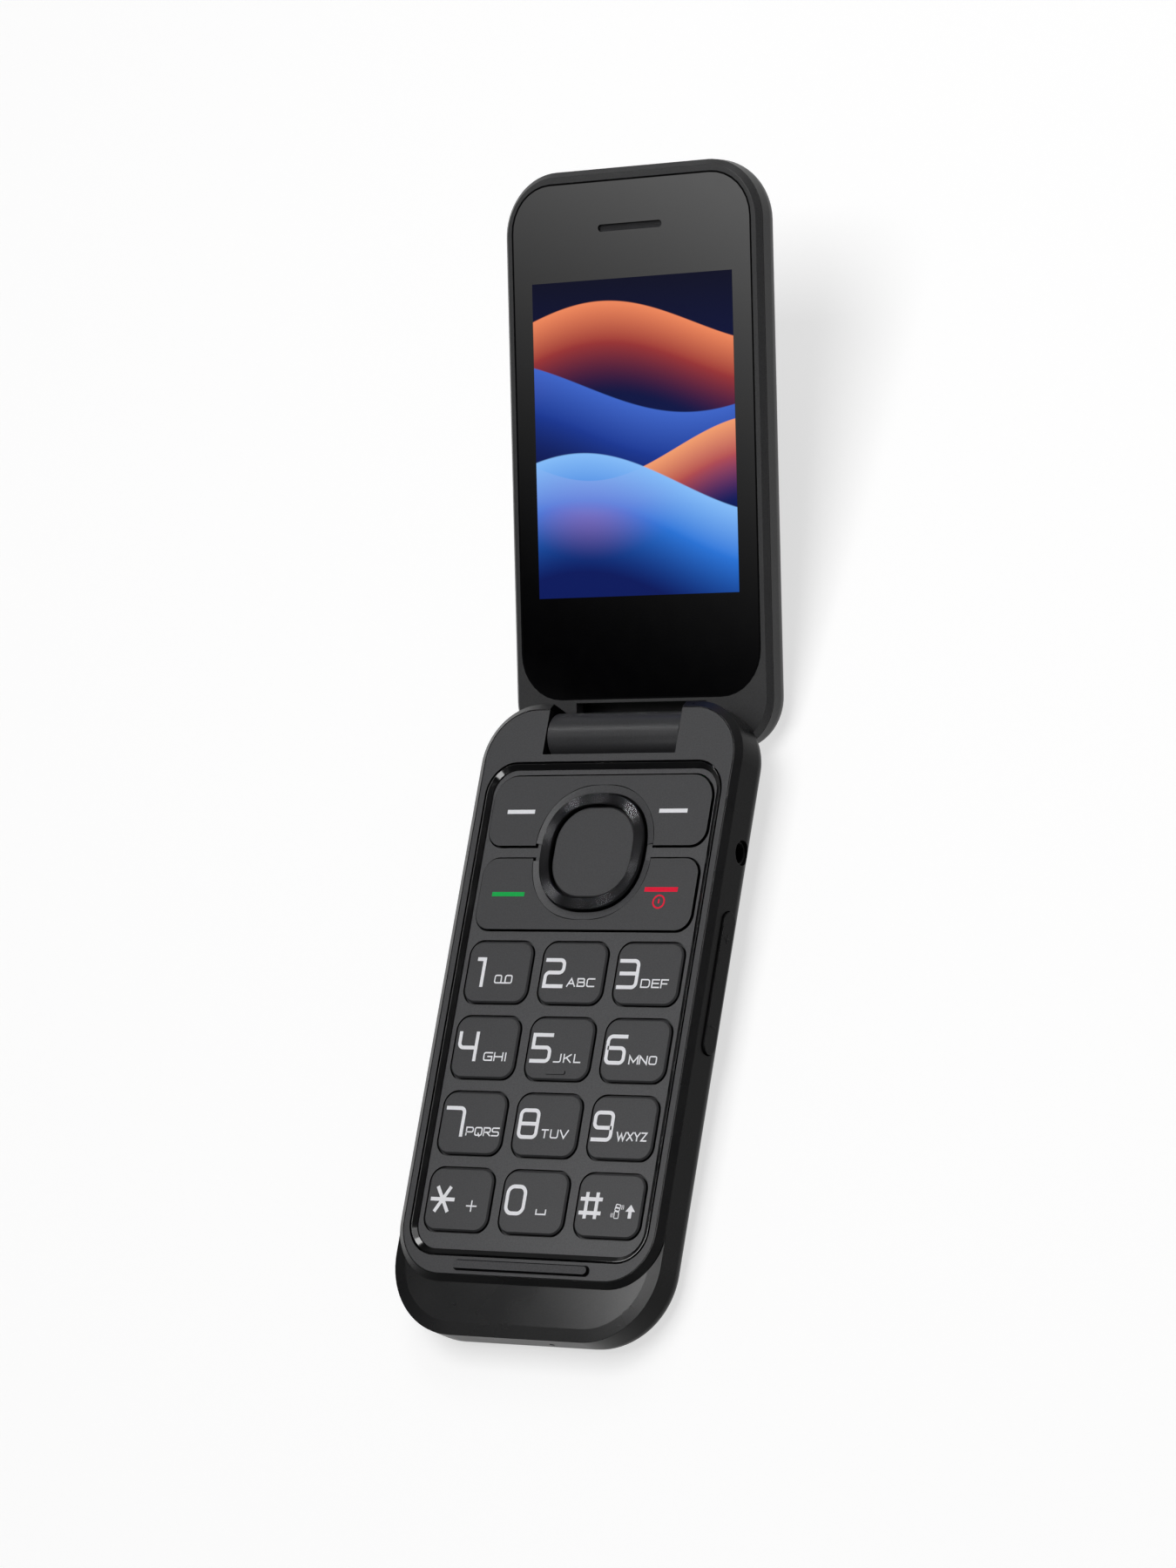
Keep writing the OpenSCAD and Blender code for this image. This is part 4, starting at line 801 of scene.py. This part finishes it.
floor_mesh.from_pydata(
    [(x*floor_reach, y*floor_reach, chin_rest[1] + floor_slope*(y*floor_reach - chin_rest[0]) - floor_gap)
     for x, y in ((-1, -1), (1, -1), (1, 1), (-1, 1))], [], [(0, 1, 2, 3)])
floor_mesh.materials.append(floor_white)
floor = bpy.data.objects.new("studio_floor", floor_mesh)
bpy.context.scene.collection.objects.link(floor)

# Each card: its middle, its half width and half height along its own axes, its light at the high end,
# and the power by which that light fades to nothing at the low end, or 0 for an even card.
cards = [
    ("lens_card", (-0.5416, -0.1215, 0.8284), (0.1183, -0.0939, 0.0529), (0.0431, 0.0845, 0.0538), 2.46, 2.4),
    ("spoke_card_right", (-0.457, 0.379, 0.829), (0.01, 0.0, 0.004), (0.0, 0.011, -0.004), 210.0, 0.0),
    ("spoke_card_front", (-0.55, 0.412, 0.753), (0.007, 0.0, 0.006), (0.0, 0.009, -0.006), 55.0, 0.0),
    ("spoke_card_back", (-0.618, 0.392, 0.708), (0.008, 0.0, 0.008), (0.0, 0.01, -0.006), 125.0, 0.0),
    ("spoke_card_left", (-0.676, 0.321, 0.687), (0.008, 0.0, 0.009), (0.0, 0.012, -0.005), 60.0, 0.0),
    ("trim_card_front", (0.09, -0.39, 0.91), (0.1, 0.0, 0.0), (0.0, 0.1, 0.04), 8.0, 0.0),
    ("trim_card_back", (-0.015, 0.72, 0.66), (0.1, 0.0, 0.0), (0.0, 0.07, -0.08), 9.0, 0.0),
    ("trim_card_far", (-0.555, 0.814, 0.17), (0.2, 0.136, 0.0), (0.0, 0.0, 0.05), 0.45, 0.0),
    ("chin_card", (-0.028, -0.031, 0.1), (0.009, 0.0, 0.006), (0.0, 0.012, -0.003), 11.0, 0.0),
]
for name, middle, side, rise, light, fade in cards:
    glow_card = material(name + "_light")
    place = add(glow_card, "UVMap", uv_map="card")
    axes = add(glow_card, "SeparateXYZ", {0: place.outputs[0]})
    shade = add(glow_card, "Math", {0: axes.outputs[1], 1: fade}, operation="POWER")
    shade = add(glow_card, "Math", {0: shade.outputs[0], 1: light}, operation="MULTIPLY")
    glow = add(glow_card, "Emission", {"Color": (1, 1, 1, 1), "Strength": shade.outputs[0]})
    add(glow_card, "OutputMaterial", {"Surface": glow.outputs[0]})
    middle, side, rise = Vector(middle), Vector(side), Vector(rise)
    card_mesh = bpy.data.meshes.new(name)
    card_mesh.from_pydata([middle - side - rise, middle + side - rise, middle + side + rise,
                           middle - side + rise], [], [(0, 1, 2, 3)])
    card_uv = card_mesh.uv_layers.new(name="card")
    for loop, place in zip(card_uv.data, ((0, 0), (1, 0), (1, 1), (0, 1))):
        loop.uv = place
    card_mesh.materials.append(glow_card)
    card = bpy.data.objects.new(name, card_mesh)
    bpy.context.scene.collection.objects.link(card)
    card.visible_camera = False
    card.visible_diffuse = False
    card.visible_shadow = False

# Each lamp: place, the way its long side runs, long and short side, power
lamps = [("lamp_top", (0.05, 0.2, 1.2), (1, 0, 0), 0.7, 0.7, 9.5),
         ("lamp_back", (0.18, 0.78, 0.86), (0.43, -0.42, 0.3), 0.85, 0.3, 1.5)]
for name, spot, long_way, long_side, short_side, power in lamps:
    lamp = bpy.data.lights.new(name, "AREA")
    lamp.shape = "RECTANGLE"
    lamp.size = long_side
    lamp.size_y = short_side
    lamp.energy = power
    holder = bpy.data.objects.new(name, lamp)
    out = Vector(spot).normalized()
    wide = (Vector(long_way) - out*out.dot(Vector(long_way))).normalized()
    turn = Matrix((wide, out.cross(wide), out)).transposed()
    holder.matrix_world = Matrix.Translation(spot) @ turn.to_4x4()
    bpy.context.scene.collection.objects.link(holder)

# The room is brightest near the floor and dims with the height of the view
room_low, room_high = 0.1, 0.45
room_light, room_dim = 0.2, 0.05
world = bpy.data.worlds.new("studio_room")
bpy.context.scene.world = world
world.use_nodes = True
world.node_tree.nodes.clear()
way = add(world, "TexCoord")
axes = add(world, "SeparateXYZ", {0: way.outputs["Generated"]})
height = add(world, "MapRange", {"Value": axes.outputs[2], "From Min": room_low, "From Max": room_high,
                                 "To Min": room_light, "To Max": room_dim})
room = add(world, "Background", {"Color": (1, 1, 1, 1), "Strength": height.outputs["Result"]})
add(world, "OutputWorld", {"Surface": room.outputs[0]})
bpy.context.scene.view_settings.view_transform = "Standard"


# Camera: at the photograph's viewing angle, from the right, the front and above.
# Its place and long focal length come from points measured on the flat faces in the photograph.
sensor_mm = 36.0
focal_px = 5885.8
photo_high_px = 1800
eye_place = (0.502, -0.19428, 0.72921)
eye = bpy.data.cameras.new("camera")
eye.sensor_fit = "VERTICAL"
eye.sensor_height = sensor_mm
eye.lens = sensor_mm*focal_px/photo_high_px
eye.clip_start = 0.01
stand = bpy.data.objects.new("camera", eye)
right = Vector((0.831741, 0.162615, -0.530814))
down = Vector((-0.009481, -0.951839, -0.306452))
ahead = Vector((-0.555083, 0.259921, -0.790141))
turn = Matrix((right, -down, -ahead)).transposed()
stand.matrix_world = Matrix.Translation(eye_place) @ turn.to_4x4()
bpy.context.scene.collection.objects.link(stand)
bpy.context.scene.camera = stand
